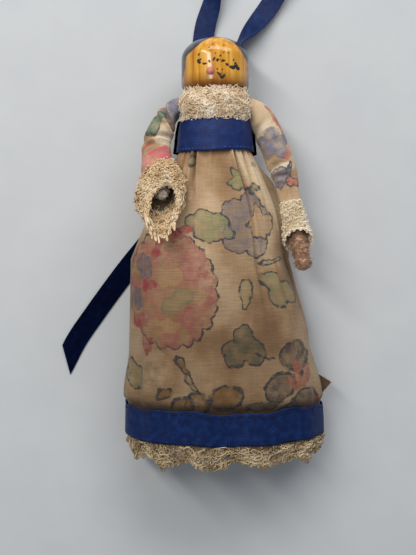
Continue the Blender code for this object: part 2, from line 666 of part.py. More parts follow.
# The right arm hangs beside the skirt, the left is bent over its front
right_shoulder = Vector((SHOULDER_X, ARM_Y, AXIS_HEIGHT))
right_elbow_y = SHOULDER_Y - RIGHT_ELBOW_DROP
right_elbow = Vector((right_reach(right_elbow_y) + LOWER_SLEEVE_RADIUS + RIGHT_ELBOW_STANDOFF,
                      right_elbow_y, AXIS_HEIGHT))
right_tip_y = SHOULDER_Y - RIGHT_HAND_DROP
right_tip = Vector((right_reach(right_tip_y) + HAND_RADIUS + RIGHT_HAND_STANDOFF,
                    right_tip_y, AXIS_HEIGHT + RIGHT_HAND_LIFT))
arm("right", right_shoulder, right_elbow, right_tip, (RIGHT_CUFF_LENGTH, RIGHT_CUFF_LEVELS, 0), True)

left_shoulder = Vector((-SHOULDER_X, ARM_Y, AXIS_HEIGHT))
left_elbow_y = SHOULDER_Y - LEFT_ELBOW_DROP
left_elbow = Vector((-left_reach(left_elbow_y) - LOWER_SLEEVE_RADIUS - LEFT_ELBOW_STANDOFF,
                     left_elbow_y, AXIS_HEIGHT + LEFT_ELBOW_LIFT))
left_mouth_y = SHOULDER_Y - LEFT_MOUTH_DROP
left_mouth = Vector((LEFT_MOUTH_SIDE, left_mouth_y,
                     skirt_front_at(LEFT_MOUTH_SIDE, left_mouth_y) + LEFT_MOUTH_LIFT))
arm("left", left_shoulder, left_elbow, left_mouth,
    (LEFT_CUFF_LENGTH, LEFT_CUFF_LEVELS, LEFT_CUFF_SLANT), False)


def smooth_route(route):
    """Points on a smooth curve through a hand-placed route."""
    knots = [Vector(point) for point in route]
    knots = [2 * knots[0] - knots[1]] + knots + [2 * knots[-1] - knots[-2]]
    points = []
    for before, start, end, after in zip(knots, knots[1:], knots[2:], knots[3:]):
        for step in range(ROUTE_STEPS):
            t = step / ROUTE_STEPS
            points.append(start + 0.5 * t * ((end - before) + t * (2 * before - 5 * start + 4 * end - after
                          + t * (3 * (start - end) + after - before))))
    points.append(knots[-2])
    return points


def narrow_ribbon(route, both_ends_knotted, end_cut=0):
    """Flat ribbon standing or lying on the table along a route, drawn narrow where it enters the knot.

    Its twisted faces are split into triangles, so each one is flat. Its free end is cut aslant by end_cut.
    """
    points = smooth_route(route)
    last = len(points) - 1
    rings = []
    for step, point in enumerate(points):
        run = points[min(step + 1, last)] - points[max(step - 1, 0)]
        run = Vector((run.x, run.y, 0)).normalized()
        to_knot = min(step, last - step) if both_ends_knotted else step
        half = lerp(NARROW_KNOT_WIDTH, NARROW_WIDTH, min(1, to_knot / ROUTE_STEPS)) / 2
        tilt = math.radians(point.z)
        level = run.cross(UP)
        wide = level * math.cos(tilt) + UP * math.sin(tilt)
        thin = run.cross(wide) * NARROW_THICKNESS / 2
        height = TABLE_GAP + half * abs(math.sin(tilt)) + NARROW_THICKNESS / 2
        middle = Vector((point.x, point.y, height))
        slant = run * end_cut * max(0, 1 - (last - step) / ROUTE_STEPS)
        edge = wide * half - slant
        rings.append([middle + edge + thin, middle + edge - thin, middle - edge - thin, middle - edge + thin])
    ribbon = loft(rings)
    bmesh.ops.triangulate(ribbon, faces=ribbon.faces)
    return ribbon


add("hanger_ribbon", narrow_ribbon(HANGER_ROUTE, True), NAVY_RIBBON)
add("left_ribbon_tail", narrow_ribbon(LEFT_TAIL_ROUTE, False, TAIL_CUT), NAVY_RIBBON)
add("right_ribbon_tail", narrow_ribbon(RIGHT_TAIL_ROUTE, False), NAVY_RIBBON)

# The knot: a flattened pad under the back of the sash, on which the waist rests
knot_rings = []
for share in KNOT_LEVELS:
    spread = math.sqrt(1 - (KNOT_DOME * share) ** 2)
    turns = [2 * math.pi * step / KNOT_SEGMENTS for step in range(KNOT_SEGMENTS)]
    knot_rings.append([Vector((math.cos(t) * KNOT_WIDTH / 2 * spread,
                               WAIST_Y + KNOT_ABOVE_WAIST + math.sin(t) * KNOT_LENGTH / 2 * spread,
                               KNOT_HEIGHT * share)) for t in turns])
add("hanger_knot", loft(knot_rings), NAVY_RIBBON)
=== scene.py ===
"""Looks of the sachet doll: a turned clothespin dressed in printed cotton, lace and ribbon.

Metres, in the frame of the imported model: the table is z = 0, the doll lies on its back,
+Y runs from hem to head and +X is the viewer's right.
"""
import functools
import math

import bpy
import mathutils
import numpy as np
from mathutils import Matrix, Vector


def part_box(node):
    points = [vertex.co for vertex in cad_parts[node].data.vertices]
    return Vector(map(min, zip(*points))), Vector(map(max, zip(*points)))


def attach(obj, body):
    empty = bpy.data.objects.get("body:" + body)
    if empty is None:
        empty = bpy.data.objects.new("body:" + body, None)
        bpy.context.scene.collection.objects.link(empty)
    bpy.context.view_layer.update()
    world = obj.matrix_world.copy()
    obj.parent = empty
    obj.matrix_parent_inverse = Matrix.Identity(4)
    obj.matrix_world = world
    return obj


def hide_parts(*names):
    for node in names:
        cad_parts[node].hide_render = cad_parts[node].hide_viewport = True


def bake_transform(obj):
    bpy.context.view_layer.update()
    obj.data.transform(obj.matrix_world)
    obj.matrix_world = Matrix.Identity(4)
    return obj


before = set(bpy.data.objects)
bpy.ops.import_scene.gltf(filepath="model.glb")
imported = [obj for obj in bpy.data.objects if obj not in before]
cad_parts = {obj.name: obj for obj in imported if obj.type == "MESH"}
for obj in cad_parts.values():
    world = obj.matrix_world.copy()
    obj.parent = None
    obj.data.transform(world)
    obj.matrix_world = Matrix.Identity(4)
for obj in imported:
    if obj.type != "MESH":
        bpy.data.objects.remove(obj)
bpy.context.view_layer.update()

# Peg: a one-piece clothespin turned from hardwood, its knob dipped in amber varnish as the head.
# Two legs stand either side of a sawn slot. The back of the knob is painted black for hair.
AXIS_HEIGHT = 0.0130
PEG_FOOT_Y, HEAD_TOP_Y = (corner[1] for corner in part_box("peg"))
PEG_LENGTH = HEAD_TOP_Y - PEG_FOOT_Y
HEAD_RADIUS = 0.0099
HEAD_CROWN = 0.0065
HEAD_BARREL = 0.0072
HEAD_UNDERCUT = 0.0038
CROWN_FLAT = 0.00005
NECK_RADIUS = 0.0041
NECK_LENGTH = 0.0060
PEG_SHOULDER = 0.0040
PEG_BODY_RADIUS = 0.0070
PEG_TIP_RADIUS = 0.0058
PEG_TIP_ROUND = 0.0012
PEG_SEGMENTS = 112
SLOT_LENGTH = 0.0580
SLOT_WIDTH = 0.0030
SLOT_MOUTH = 0.0056


def linear(code):
    """An sRGB hex colour as the linear values that shaders take."""
    channels = [int(code[at:at + 2], 16) / 255 for at in (1, 3, 5)]
    return [c / 12.92 if c <= 0.04045 else ((c + 0.055) / 1.055) ** 2.4 for c in channels] + [1.0]


def plug(made, *values, **named):
    """Give a node's sockets, in order or by name, a number, a hex colour or another node's output."""
    usable = [socket for socket in made.inputs if socket.enabled]
    by_name = {socket.name.replace(" ", "_"): socket for socket in usable[::-1]}
    for socket, value in [*zip(usable, values), *((by_name[name], named[name]) for name in named)]:
        if isinstance(value, bpy.types.NodeSocket):
            made.id_data.links.new(value, socket)
        else:
            socket.default_value = linear(value) if isinstance(value, str) else value


def node(tree, kind, *values, output=None, stops=(), **options):
    """Add a node, with its operation or data type after its kind. Values fill its sockets in order and
    capitalised options by name; stops are a colour ramp's (place, hex colour) pairs."""
    kind, _, working = kind.partition(" ")
    made = tree.nodes.new("ShaderNode" + kind)
    if working:
        setattr(made, "data_type" if kind == "Mix" else "operation", working)
    for option in filter(str.islower, list(options)):
        setattr(made, option, options.pop(option))
    plug(made, *values, **options)
    if stops:
        elements = made.color_ramp.elements
        while len(elements) < len(stops):
            elements.new(1.0)
        for element, (place, code) in zip(elements, stops):
            element.position = place
            element.color = linear(code)
    return made.outputs[output] if output else next(socket for socket in made.outputs if socket.enabled)


def new_material(name):
    """An empty node material, with the function that adds a node to it and its shader."""
    material = bpy.data.materials.new(name)
    material.use_nodes = True
    tree = material.node_tree
    return material, functools.partial(node, tree), tree.nodes["Principled BSDF"]


def add_mesh(name, points, faces, material, cloth=None):
    """A named mesh in the doll's frame; cloth gives each point its place on the flat cloth, in metres."""
    mesh = bpy.data.meshes.new(name)
    mesh.from_pydata(np.reshape(points, (-1, 3)).tolist(), [], [list(face) for face in faces])
    if cloth is not None:
        corners = np.empty(len(mesh.loops), dtype=np.int32)
        mesh.loops.foreach_get("vertex_index", corners)
        layer = mesh.uv_layers.new(name="cloth")
        layer.data.foreach_set("uv", np.reshape(cloth, (-1, 2)).astype(np.float32)[corners].ravel())
    mesh.materials.append(material)
    mesh.shade_smooth()
    made = bpy.data.objects.new(name, mesh)
    bpy.context.scene.collection.objects.link(made)
    return made


def grid_faces(rows, columns, wrap=False):
    """Quads over a grid of points stored row by row; wrap joins the last column to the first."""
    at = np.arange(rows * columns).reshape(rows, columns)
    if wrap:
        at = np.column_stack([at, at[:, 0]])
    return np.stack([at[:-1, :-1], at[:-1, 1:], at[1:, 1:], at[1:, :-1]], axis=-1).reshape(-1, 4).tolist()


def tube_faces(rings, sides):
    """Quads round a tube of points stored ring by ring, and a face over each end."""
    last = (rings - 1) * sides
    return grid_faces(rings, sides, wrap=True) + [range(sides)[::-1], range(last, last + sides)]


def full_turn(count):
    """Turns evenly round a circle."""
    return np.linspace(0, 2 * math.pi, count, endpoint=False)


def round_axis(radius, y, turns):
    """Points round the peg's axis, at a radius and a height up the doll."""
    x, z = radius * np.cos(turns), AXIS_HEIGHT + radius * np.sin(turns)
    return np.stack(np.broadcast_arrays(x, y, z), axis=-1)


def quarter(start, end, rises, steps=24):
    """Profile points of a quarter ellipse from one (along, radius) corner to another."""
    turns = np.linspace(0, math.pi / 2, steps)
    shares = (1 - np.cos(turns), np.sin(turns))
    return (start + np.subtract(end, start) * np.column_stack(shares if rises else shares[::-1])).tolist()


barrel_end = HEAD_CROWN + HEAD_BARREL
neck_start = barrel_end + HEAD_UNDERCUT
shoulder_start = neck_start + NECK_LENGTH
peg_profile = np.array(
    quarter((0, CROWN_FLAT), (HEAD_CROWN, HEAD_RADIUS), True)
    + quarter((barrel_end, HEAD_RADIUS), (neck_start, NECK_RADIUS), False)
    + quarter((shoulder_start, NECK_RADIUS), (shoulder_start + PEG_SHOULDER, PEG_BODY_RADIUS), True)
    + [(PEG_LENGTH - PEG_TIP_ROUND, PEG_TIP_RADIUS), (PEG_LENGTH, PEG_TIP_RADIUS - PEG_TIP_ROUND)])
peg_points = round_axis(peg_profile[:, 1:], HEAD_TOP_Y - peg_profile[:, :1], full_turn(PEG_SEGMENTS))
last_point = len(peg_profile) * PEG_SEGMENTS - 1
peg_faces = grid_faces(len(peg_profile), PEG_SEGMENTS, wrap=True)
peg_faces += [range(PEG_SEGMENTS), range(last_point, last_point - PEG_SEGMENTS, -1)]


def varnished_hardwood():
    """Turned hardwood under thick amber varnish: fine dark grain along the peg, a deep honey colour
    that turns brown in the hollow under the knob as painted shade, and a sharp wet-looking gloss."""
    material, add, shader = new_material("varnished_hardwood")
    place = add("TexCoord", output="Object")
    # Grain lines about 0.7 mm apart across the peg and some 18 mm long
    grain = add("Mapping", place, Scale=(1 / 0.0014, 1 / 0.018, 1 / 0.0014))
    grain = add("TexNoise", grain, 1.0, 5.0, Distortion=0.4)
    broad = add("Mapping", place, Scale=(1 / 0.006, 1 / 0.05, 1 / 0.006))
    broad = add("TexNoise", broad, 1.0, 2.0)
    wood = add("ValToRGB", grain, stops=(
        (0.28, "#b0741c"), (0.45, "#d89e32"), (0.56, "#e6b349"), (0.75, "#f3ce74")))
    tone = add("ValToRGB", broad, stops=((0.3, "#d9b070"), (0.7, "#fbe6c0")))
    wood = add("Mix RGBA", 0.55, wood, tone, blend_type="MULTIPLY")
    across, along, height = add("SeparateXYZ", place).node.outputs
    # Painted shade and a painted reflection of the lace: the wood turns brown in the hollow under the knob
    hollow_y = HEAD_TOP_Y - barrel_end
    hollow_shade = add("MapRange", along, hollow_y + 0.0022, hollow_y - 0.0018)
    wood = add("Mix RGBA", hollow_shade, wood, "#74400c")
    # Hair: black gloss paint over the back. On the left its edge comes forward, over the crown it runs
    # aslant on both sides of the top, and on the right it keeps behind the temple. It was dabbed on with a
    # brush some 2.4 mm broad. Each edge moves in by steps: up the head from, up to, and by how much
    brushed = add("TexNoise", place, 1 / 0.00238, 2.0)
    left_steps = ((0.0640, 0.0700, 0.0010), (0.0704, 0.0742, 0.0048), (0.0742, 0.0768, 0.0036))
    right_steps = ((0.0690, 0.0735, -0.0032), (0.0735, 0.0770, -0.0050))
    from_edges = []
    for side, edge, steps in ((1, -0.0094, left_steps), (-1, 0.0093, right_steps)):
        for start, end, inward in steps:
            edge = add("Math ADD", add("MapRange", along, start, end, To_Max=inward), edge)
        from_edges.append((add("Math SUBTRACT", *(across, edge)[::side]), 0.0008, 0.0002))
    temple = add("MapRange", along, 0.0640, 0.0712, 0.0110, 0.0150)
    from_edges.append((add("Math SUBTRACT", height, temple), 0.0016, 0.0006))
    bare = 1.0
    for from_edge, ragged, start in from_edges:
        from_edge = add("Math MULTIPLY_ADD", brushed, ragged, from_edge)
        bare = add("Math MULTIPLY", bare, add("MapRange", from_edge, start, start + 0.0004))
    below_head = add("Math LESS_THAN", along, hollow_y - HEAD_UNDERCUT)
    bare = add("Math MAXIMUM", bare, below_head)
    hair = add("ValToRGB", brushed, stops=((0.35, "#1e2022"), (0.65, "#44464a")))
    color = add("Mix RGBA", bare, hair, wood)
    plug(shader, Base_Color=color, Normal=add("Bump", 0.12, 0.0003, Height=grain), Roughness=0.22, IOR=1.42,
         Coat_Weight=0.35, Coat_Roughness=0.06)
    return material


HARDWOOD = varnished_hardwood()
peg = add_mesh("turned_peg", peg_points, peg_faces, HARDWOOD)
# The slot is sawn from the foot up, round at its top and wider at its mouth
slot_turns = np.linspace(0, math.pi, 17)
slot_outline = [(SLOT_WIDTH / 2 * math.cos(t), PEG_FOOT_Y + SLOT_LENGTH + SLOT_WIDTH / 2 * (math.sin(t) - 1))
                for t in slot_turns]
slot_outline += [(side * SLOT_MOUTH / 2, PEG_FOOT_Y - 0.001) for side in (-1, 1)]
slot_points = [(x, y, AXIS_HEIGHT + side * 2 * PEG_BODY_RADIUS) for side in (-1, 1) for x, y in slot_outline]
saw_cut = add_mesh("saw_cut", slot_points, tube_faces(2, len(slot_outline)), HARDWOOD)
peg.modifiers.new("saw_cut", "BOOLEAN").object = saw_cut
bpy.context.view_layer.update()
sawn = peg.evaluated_get(bpy.context.evaluated_depsgraph_get())
peg.data = bpy.data.meshes.new_from_object(sawn)
peg.modifiers.clear()
peg.data.set_sharp_from_angle(angle=math.radians(40))
bpy.data.objects.remove(saw_cut)
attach(peg, "doll")
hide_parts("peg")

# Face: worn strokes of black paint brushed on the front of the knob, standing a hair proud of it,
# and one raised drop of pink enamel beside the small painted mouth.
STROKE_RADIUS = 0.00074
# Each stroke: how broad it is, then places on the face in mm
STROKES = (
    (0.7, (-4.5, 70.7), (-4.6, 69.8)), (1.1, (-4.6, 69.2), (-4.5, 68.4), (-4.0, 67.6)),
    (0.9, (-4.1, 69.3), (-3.9, 68.5)), (0.7, (-3.7, 67.7), (-3.0, 67.5), (-2.3, 67.6)),
    (1.1, (-2.1, 67.7), (-1.5, 68.1), (-1.0, 68.0)), (0.8, (-0.8, 68.1), (-0.3, 68.9), (-0.1, 69.5)),
    (1.2, (-0.1, 68.1), (0.6, 68.4), (1.2, 68.0)), (0.8, (1.0, 68.3), (1.5, 69.0)),
    (1.0, (1.4, 68.0), (2.1, 68.3), (2.6, 67.9)), (0.7, (2.4, 68.1), (2.8, 68.7)),
    (1.0, (2.7, 67.7), (3.3, 67.2), (3.8, 66.8)), (1.1, (3.7, 66.8), (4.7, 66.6), (5.6, 66.4)),
    (1.3, (5.0, 66.9), (5.8, 67.4), (6.3, 67.7)), (1.2, (5.6, 66.7), (6.2, 66.7), (6.5, 67.2)),
    (0.8, (5.2, 67.7), (6.0, 68.2)), (0.8, (-1.6, 71.4), (-1.1, 71.0)), (0.6, (-1.9, 72.2), (-1.6, 72.0)),
    (0.8, (-0.3, 70.6), (0.2, 70.2)), (0.9, (1.1, 69.9), (1.5, 69.5)), (0.8, (2.1, 70.9), (2.5, 70.5)),
    (0.7, (3.4, 70.8), (3.9, 70.4)), (0.9, (4.8, 69.0), (5.3, 68.5)), (0.8, (0.3, 66.0), (0.7, 65.8)),
    (0.8, (1.7, 66.0), (2.1, 65.6)), (1.0, (0.4, 65.1), (1.1, 64.4), (1.7, 63.6), (2.3, 64.1), (2.5, 64.7)),
    (1.1, (0.9, 64.8), (1.5, 64.5), (2.0, 64.4)),
)


def unit(vectors):
    """Directions of length 1."""
    return vectors / (np.linalg.norm(vectors, axis=-1, keepdims=True) + 1e-12)


def strands(paths, radius, sides=5):
    """Round threads along paths of equal count, as points and faces; radius may vary along them."""
    paths = np.asarray(paths, dtype=float)
    count, steps = paths.shape[:2]
    width = np.broadcast_to(radius, (count, steps))
    runs = unit(np.gradient(paths, axis=1))
    side = np.cross(runs[:, 0], (0.31, 0.53, 0.79))
    turns = full_turn(sides)[:, None]
    rings = np.empty((count, steps, sides, 3))
    for step in range(steps):
        run = runs[:, step]
        side = unit(side - run * np.sum(side * run, axis=1, keepdims=True))
        spokes = np.cos(turns) * side[:, None] + np.sin(turns) * np.cross(run, side)[:, None]
        rings[:, step] = paths[:, step, None] + width[:, step, None, None] * spokes
    tube, starts = tube_faces(steps, sides), range(0, count * steps * sides, steps * sides)
    return rings, [[index + start for index in face] for start in starts for face in tube]


def joined(parts):
    """Several (points, faces) sets as one."""
    points, faces, start = [], [], 0
    for part_points, part_faces in parts:
        points.append(np.reshape(part_points, (-1, 3)))
        faces += [[index + start for index in face] for face in part_faces]
        start += len(points[-1])
    return np.concatenate(points), faces


def smooth_path(knots, per_span=6):
    """Points on a smooth curve through given knots."""
    knots = np.asarray(knots, dtype=float)
    knots = np.concatenate([[2 * knots[0] - knots[1]], knots, [2 * knots[-1] - knots[-2]]])
    points = []
    for before, start, end, after in zip(knots, knots[1:], knots[2:], knots[3:]):
        for t in np.arange(per_span) / per_span:
            bend = 2 * before - 5 * start + 4 * end - after + t * (3 * (start - end) + after - before)
            points.append(start + 0.5 * t * ((end - before) + t * bend))
    return np.array(points + [knots[-2]])


def on_head(x, y):
    """A point of the knob's front over a place on the table."""
    crown = max(0, 1 - (HEAD_TOP_Y - y) / HEAD_CROWN)
    return (x, y, AXIS_HEIGHT + math.sqrt(HEAD_RADIUS ** 2 * (1 - crown ** 2) - x ** 2))


def mottled(name, patch, detail, stops, relief=(), **look):
    """A material whose tone changes over patches of a size, which stand in relief by a (strength, depth)
    if given."""
    material, add, shader = new_material(name)
    mottle = add("TexNoise", add("TexCoord", output="Object"), 1 / patch, detail)
    if relief:
        look["Normal"] = add("Bump", *relief, Height=mottle)
    plug(shader, Base_Color=add("ValToRGB", mottle, stops=stops), **look)
    return material


def black_paint():
    """Brushed black enamel, worn thin: uneven dark grey that shows brown where the wood comes through."""
    return mottled("black_paint", 0.000556, 3.0, ((0.35, "#15120f"), (0.6, "#2b211a"), (0.75, "#6b4420")),
                   Roughness=0.6)


stroke_parts = []
for broad, *places in STROKES:
    path = smooth_path([on_head(x / 1000, y / 1000) for x, y in places])
    width = STROKE_RADIUS * broad * (1 - 0.45 * np.linspace(-1, 1, len(path)) ** 2)
    path[:, 2] -= width * 0.78
    stroke_parts.append(strands([path], width, sides=10))
face_paint = add_mesh("face_paint", *joined(stroke_parts), black_paint())
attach(face_paint, "doll")

BEAD_RADIUS = 0.00112
BEAD_HEIGHT = 0.0008
BEAD_SIDES = 32
# Spread and rise of the drop's rings, in shares of its radius and height
BEAD_RINGS = ((1.0, -0.2), (1.0, 0.12), (0.95, 0.42), (0.82, 0.7), (0.58, 0.9), (0.3, 0.985), (0.01, 1.0))


def pink_enamel():
    """Thick enamel dropped from a brush: an even salmon pink with a soft gloss and faint pitting."""
    return mottled("pink_enamel", 0.000667, 2.0, ((0.3, "#b9605a"), (0.7, "#d08a7e")), (0.25, 0.0002),
                   Roughness=0.4)


bead_x, bead_y, bead_z = np.mean(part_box("cheek_bead"), axis=0)
bead_out = unit(np.array((bead_x, 0, bead_z - AXIS_HEIGHT)))
bead_seat = np.array((0, bead_y, AXIS_HEIGHT)) + bead_out * HEAD_RADIUS
bead_turns = full_turn(BEAD_SIDES)[:, None]
bead_spokes = np.cos(bead_turns) * np.cross((0, 1, 0), bead_out) + np.sin(bead_turns) * (0, 1, 0)
bead_points = [bead_seat + BEAD_RADIUS * spread * bead_spokes + BEAD_HEIGHT * rise * bead_out
               for spread, rise in BEAD_RINGS]
bead = add_mesh("cheek_drop", bead_points, tube_faces(len(BEAD_RINGS), BEAD_SIDES), pink_enamel())
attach(bead, "doll")
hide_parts("cheek_bead")

# Arms: one chenille stem, short pile held in twisted wire, wound round the neck under the bodice and
# led out through the armholes. The right end is folded back on itself as a hand.
RIGHT_SHOULDER = np.array((0.0129, 0.0547, 0.0130))
RIGHT_ELBOW = np.array((0.0202, 0.0378, 0.0130))
LEFT_SHOULDER = np.array((-0.0129, 0.0547, 0.0130))
LEFT_ELBOW = np.array((-0.0174, 0.0437, 0.0160))
RIGHT_FORE = np.array((0.1874, -0.9708, 0.1496))
LEFT_FORE = np.array((0.1225, -0.7493, 0.6508))
LEFT_FORE_LENGTH = 0.0202
STEM_RADIUS = 0.0026
STEM_SIDES = 24
NECK_STEPS = 60
UPPER_STEPS = 20
pile_dice = np.random.default_rng(5)


def chenille_pile(name, root, middle, tip):
    """Cut rayon pile: dusty, darker in its clumps and pale at the lit tips, without gloss."""
    return mottled(name, 0.00111, 3.0, ((0.30, root), (0.50, middle), (0.72, tip)), (0.8, 0.0004),
                   Roughness=0.95, Sheen_Weight=0.35)


# Brown-pink pile, worn to its pale cotton at the left end
CHENILLE_PILE = chenille_pile("chenille_pile", "#7c563f", "#b0866a", "#dab698")
WORN_PILE = chenille_pile("worn_pile", "#a89a8a", "#cfc4b4", "#ebe3d6")


def frames_along(line, up):
    """Directions along a line, across it and over it, with over kept near an up direction."""
    run = unit(np.gradient(line, axis=0))
    across = unit(np.cross(run, up))
    return run, across, np.cross(across, run)


def length_along(line):
    """The length of a line up to each of its points."""
    return np.concatenate([[0], np.cumsum(np.linalg.norm(np.diff(line, axis=0), axis=1))])


def along_at(spots, length, values):
    """Rows of values at spots along a line."""
    return np.stack([np.interp(spots, length, column) for column in values.T], axis=-1)


def pile_stem(name, line, radii, fibres, up=(0, 0, 1), material=CHENILLE_PILE):
    """A stem along a line: a lumpy core and a coat of short bent fibres."""
    _, across, over = frames_along(line, up)
    turns = full_turn(STEM_SIDES)[None, :, None]
    lumps = 1 + 0.05 * np.sin(5 * turns + np.arange(len(line))[:, None, None] * 1.9)
    core = line[:, None] + 0.86 * radii[:, None, None] * lumps * (
        np.cos(turns) * across[:, None] + np.sin(turns) * over[:, None])
    length = length_along(line)
    spot = pile_dice.uniform(0, length[-1], fibres)
    turn = pile_dice.uniform(0, 2 * math.pi, fibres)[:, None]
    radius = np.interp(spot, length, radii)[:, None]
    out = np.cos(turn) * along_at(spot, length, across) + np.sin(turn) * along_at(spot, length, over)
    lean = pile_dice.normal(0, 0.45, (fibres, 3))
    root = along_at(spot, length, line) + out * radius * 0.78
    reach = radius * pile_dice.uniform(0.22, 0.36, fibres)[:, None]
    middle = root + reach * 0.6 * (out + 0.5 * lean)
    tip = root + reach * (out + 1.2 * lean)
    hairs = strands(np.stack([root, middle, tip], axis=1), (0.00008, 0.00007, 0.00003), sides=3)
    made = add_mesh(name, *joined([(core, tube_faces(len(line), STEM_SIDES)), hairs]), material)
    return made


neck_line = round_axis(NECK_RADIUS + 0.0012, 0.0565 + np.linspace(0.0015, -0.0015, NECK_STEPS),
                       np.linspace(math.pi, 4 * math.pi, NECK_STEPS))
neck_wrap = pile_stem("neck_winding", neck_line, np.full(NECK_STEPS, 0.0009), 500, (0, 1, 0))
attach(neck_wrap, "doll")
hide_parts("neck_wrap")

# The pile is pressed flat inside the narrow left sleeve
for side, shoulder, elbow, stem_radius in (("right", RIGHT_SHOULDER, RIGHT_ELBOW, STEM_RADIUS),
                                           ("left", LEFT_SHOULDER, LEFT_ELBOW, 0.5 * STEM_RADIUS)):
    upper_length = np.linalg.norm(elbow - shoulder) - 0.0037
    upper_spots = np.linspace(-stem_radius, upper_length, UPPER_STEPS)
    upper_stem = pile_stem(side + "_upper_wire", shoulder + np.outer(upper_spots, unit(elbow - shoulder)),
                           stem_radius * np.clip(np.linspace(0.5, 4, UPPER_STEPS), 0, 1), 300)
    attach(upper_stem, side + "_upper_arm")
    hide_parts(side + "_upper_stem")

# The hand: spots along the forearm and radii there, in mm, before its pile is worn down
HAND = ((-2.4, 1.2), (-1.2, 2.2), (0, 2.6), (12, 2.6), (16.5, 2.6), (19.5, 2.8), (21.5, 3.1), (23.5, 3.15),
        (25, 3.1), (25.8, 2.8), (26.3, 2.6), (26.8, 2.8), (27.6, 3.0), (28.6, 2.8), (29.3, 2.1), (29.7, 1.3),
        (30, 0.3))
HAND_WEAR = 0.80
LEFT_WEAR = 0.72
hand_spots, hand_radii = np.array(HAND).T / 1000
hand_fine = np.linspace(hand_spots[0], hand_spots[-1], 90)
right_hand = pile_stem("right_forearm_wire", RIGHT_ELBOW + np.outer(hand_fine, RIGHT_FORE),
                       HAND_WEAR * np.interp(hand_fine, hand_spots, hand_radii), 5200)
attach(right_hand, "right_forearm")
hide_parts("right_fore_stem")
left_spots = np.linspace(-0.0024, LEFT_FORE_LENGTH - 0.0002, 50)
left_taper = np.clip(np.minimum(left_spots + 0.0034, LEFT_FORE_LENGTH - left_spots) / 0.0016, 0.15, 1) ** 0.5
left_stub = pile_stem("left_forearm_wire", LEFT_ELBOW + np.outer(left_spots, LEFT_FORE),
                      LEFT_WEAR * STEM_RADIUS * left_taper, 1800, material=WORN_PILE)
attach(left_stub, "left_forearm")
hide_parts("left_fore_stem")

# Skirt: printed quilting cotton gathered on a thread at the waist, lying on its flat back with the
# front full over the scented bag. One back edge laps out at the right, with a raw turned corner.
WAIST_Y = 0.0460
SKIRT_LENGTH = 0.0860
WAIST_RADIUS = 0.0093
HIP_DROP = 0.0340
HIP_LEFT = 0.0249
HIP_RIGHT = 0.0202
HEM_LEFT = 0.0260
HEM_RIGHT = 0.0316
LEFT_FULLNESS = 0.15
RIGHT_FULLNESS = 0.9
HEM_SIDE_HEIGHT = 0.0090
HIP_FRONT_HEIGHT = 0.0272
HEM_FRONT_HEIGHT = 0.0234
REST_DROP = 0.0420
REST_END_DROP = 0.0720
RIBBON_TOP_DROP = 0.0778
RIBBON_LIFT = 0.0007
BACK_FLATNESS = 1.25
RIPPLE_DEPTH = 0.0006
RIPPLES = 11
GATHERS = 30
GATHER_DEPTH = 0.00022
# Long folds: turn round the skirt at the waist and at the fold's end (degrees from the right side),
# then in mm the drop where it starts and ends, its depth and its half width along the cloth
FOLDS = (
    (63, 56, 0, 17, 2.4, 0.6), (57, 54, 8, 60, 1.0, 0.7), (122, 112, 0, 18, 2.4, 0.6),
    (141, 133, 1, 16, 1.6, 0.7), (44, 42, 0, 22, 1.2, 0.8), (30, 33, 2, 26, 1.0, 0.9),
    (150, 152, 30, 86, 0.6, 1.8), (33, 30, 34, 86, 1.1, 1.6), (108, 112, 46, 86, 0.4, 2.6),
    (80, 76, 50, 86, 0.4, 2.4),
)
SLACK_DEPTH = 0.00035
BAG_OUT = 0.0013
ARM_SWELL = 0.0040
# The hem rises at both sides of the front
HEM_SWEEP = 0.0022
LAP_DROP = 0.0475
LAP_HALF_LENGTH = 0.0130
LAP_REACH = 0.0025
LAP_START = 0.05
LAP_END = 0.70


def ease(value, start, end):
    """0 before start, 1 after end, smooth between."""
    share = np.clip((value - start) / (end - start), 0, 1)
    return share * share * (3 - 2 * share)


def hump(value, centre=0.0, half_width=1.0):
    """1 at the centre, falling smoothly to 0 on both sides."""
    return np.exp(-((value - centre) / half_width) ** 2)


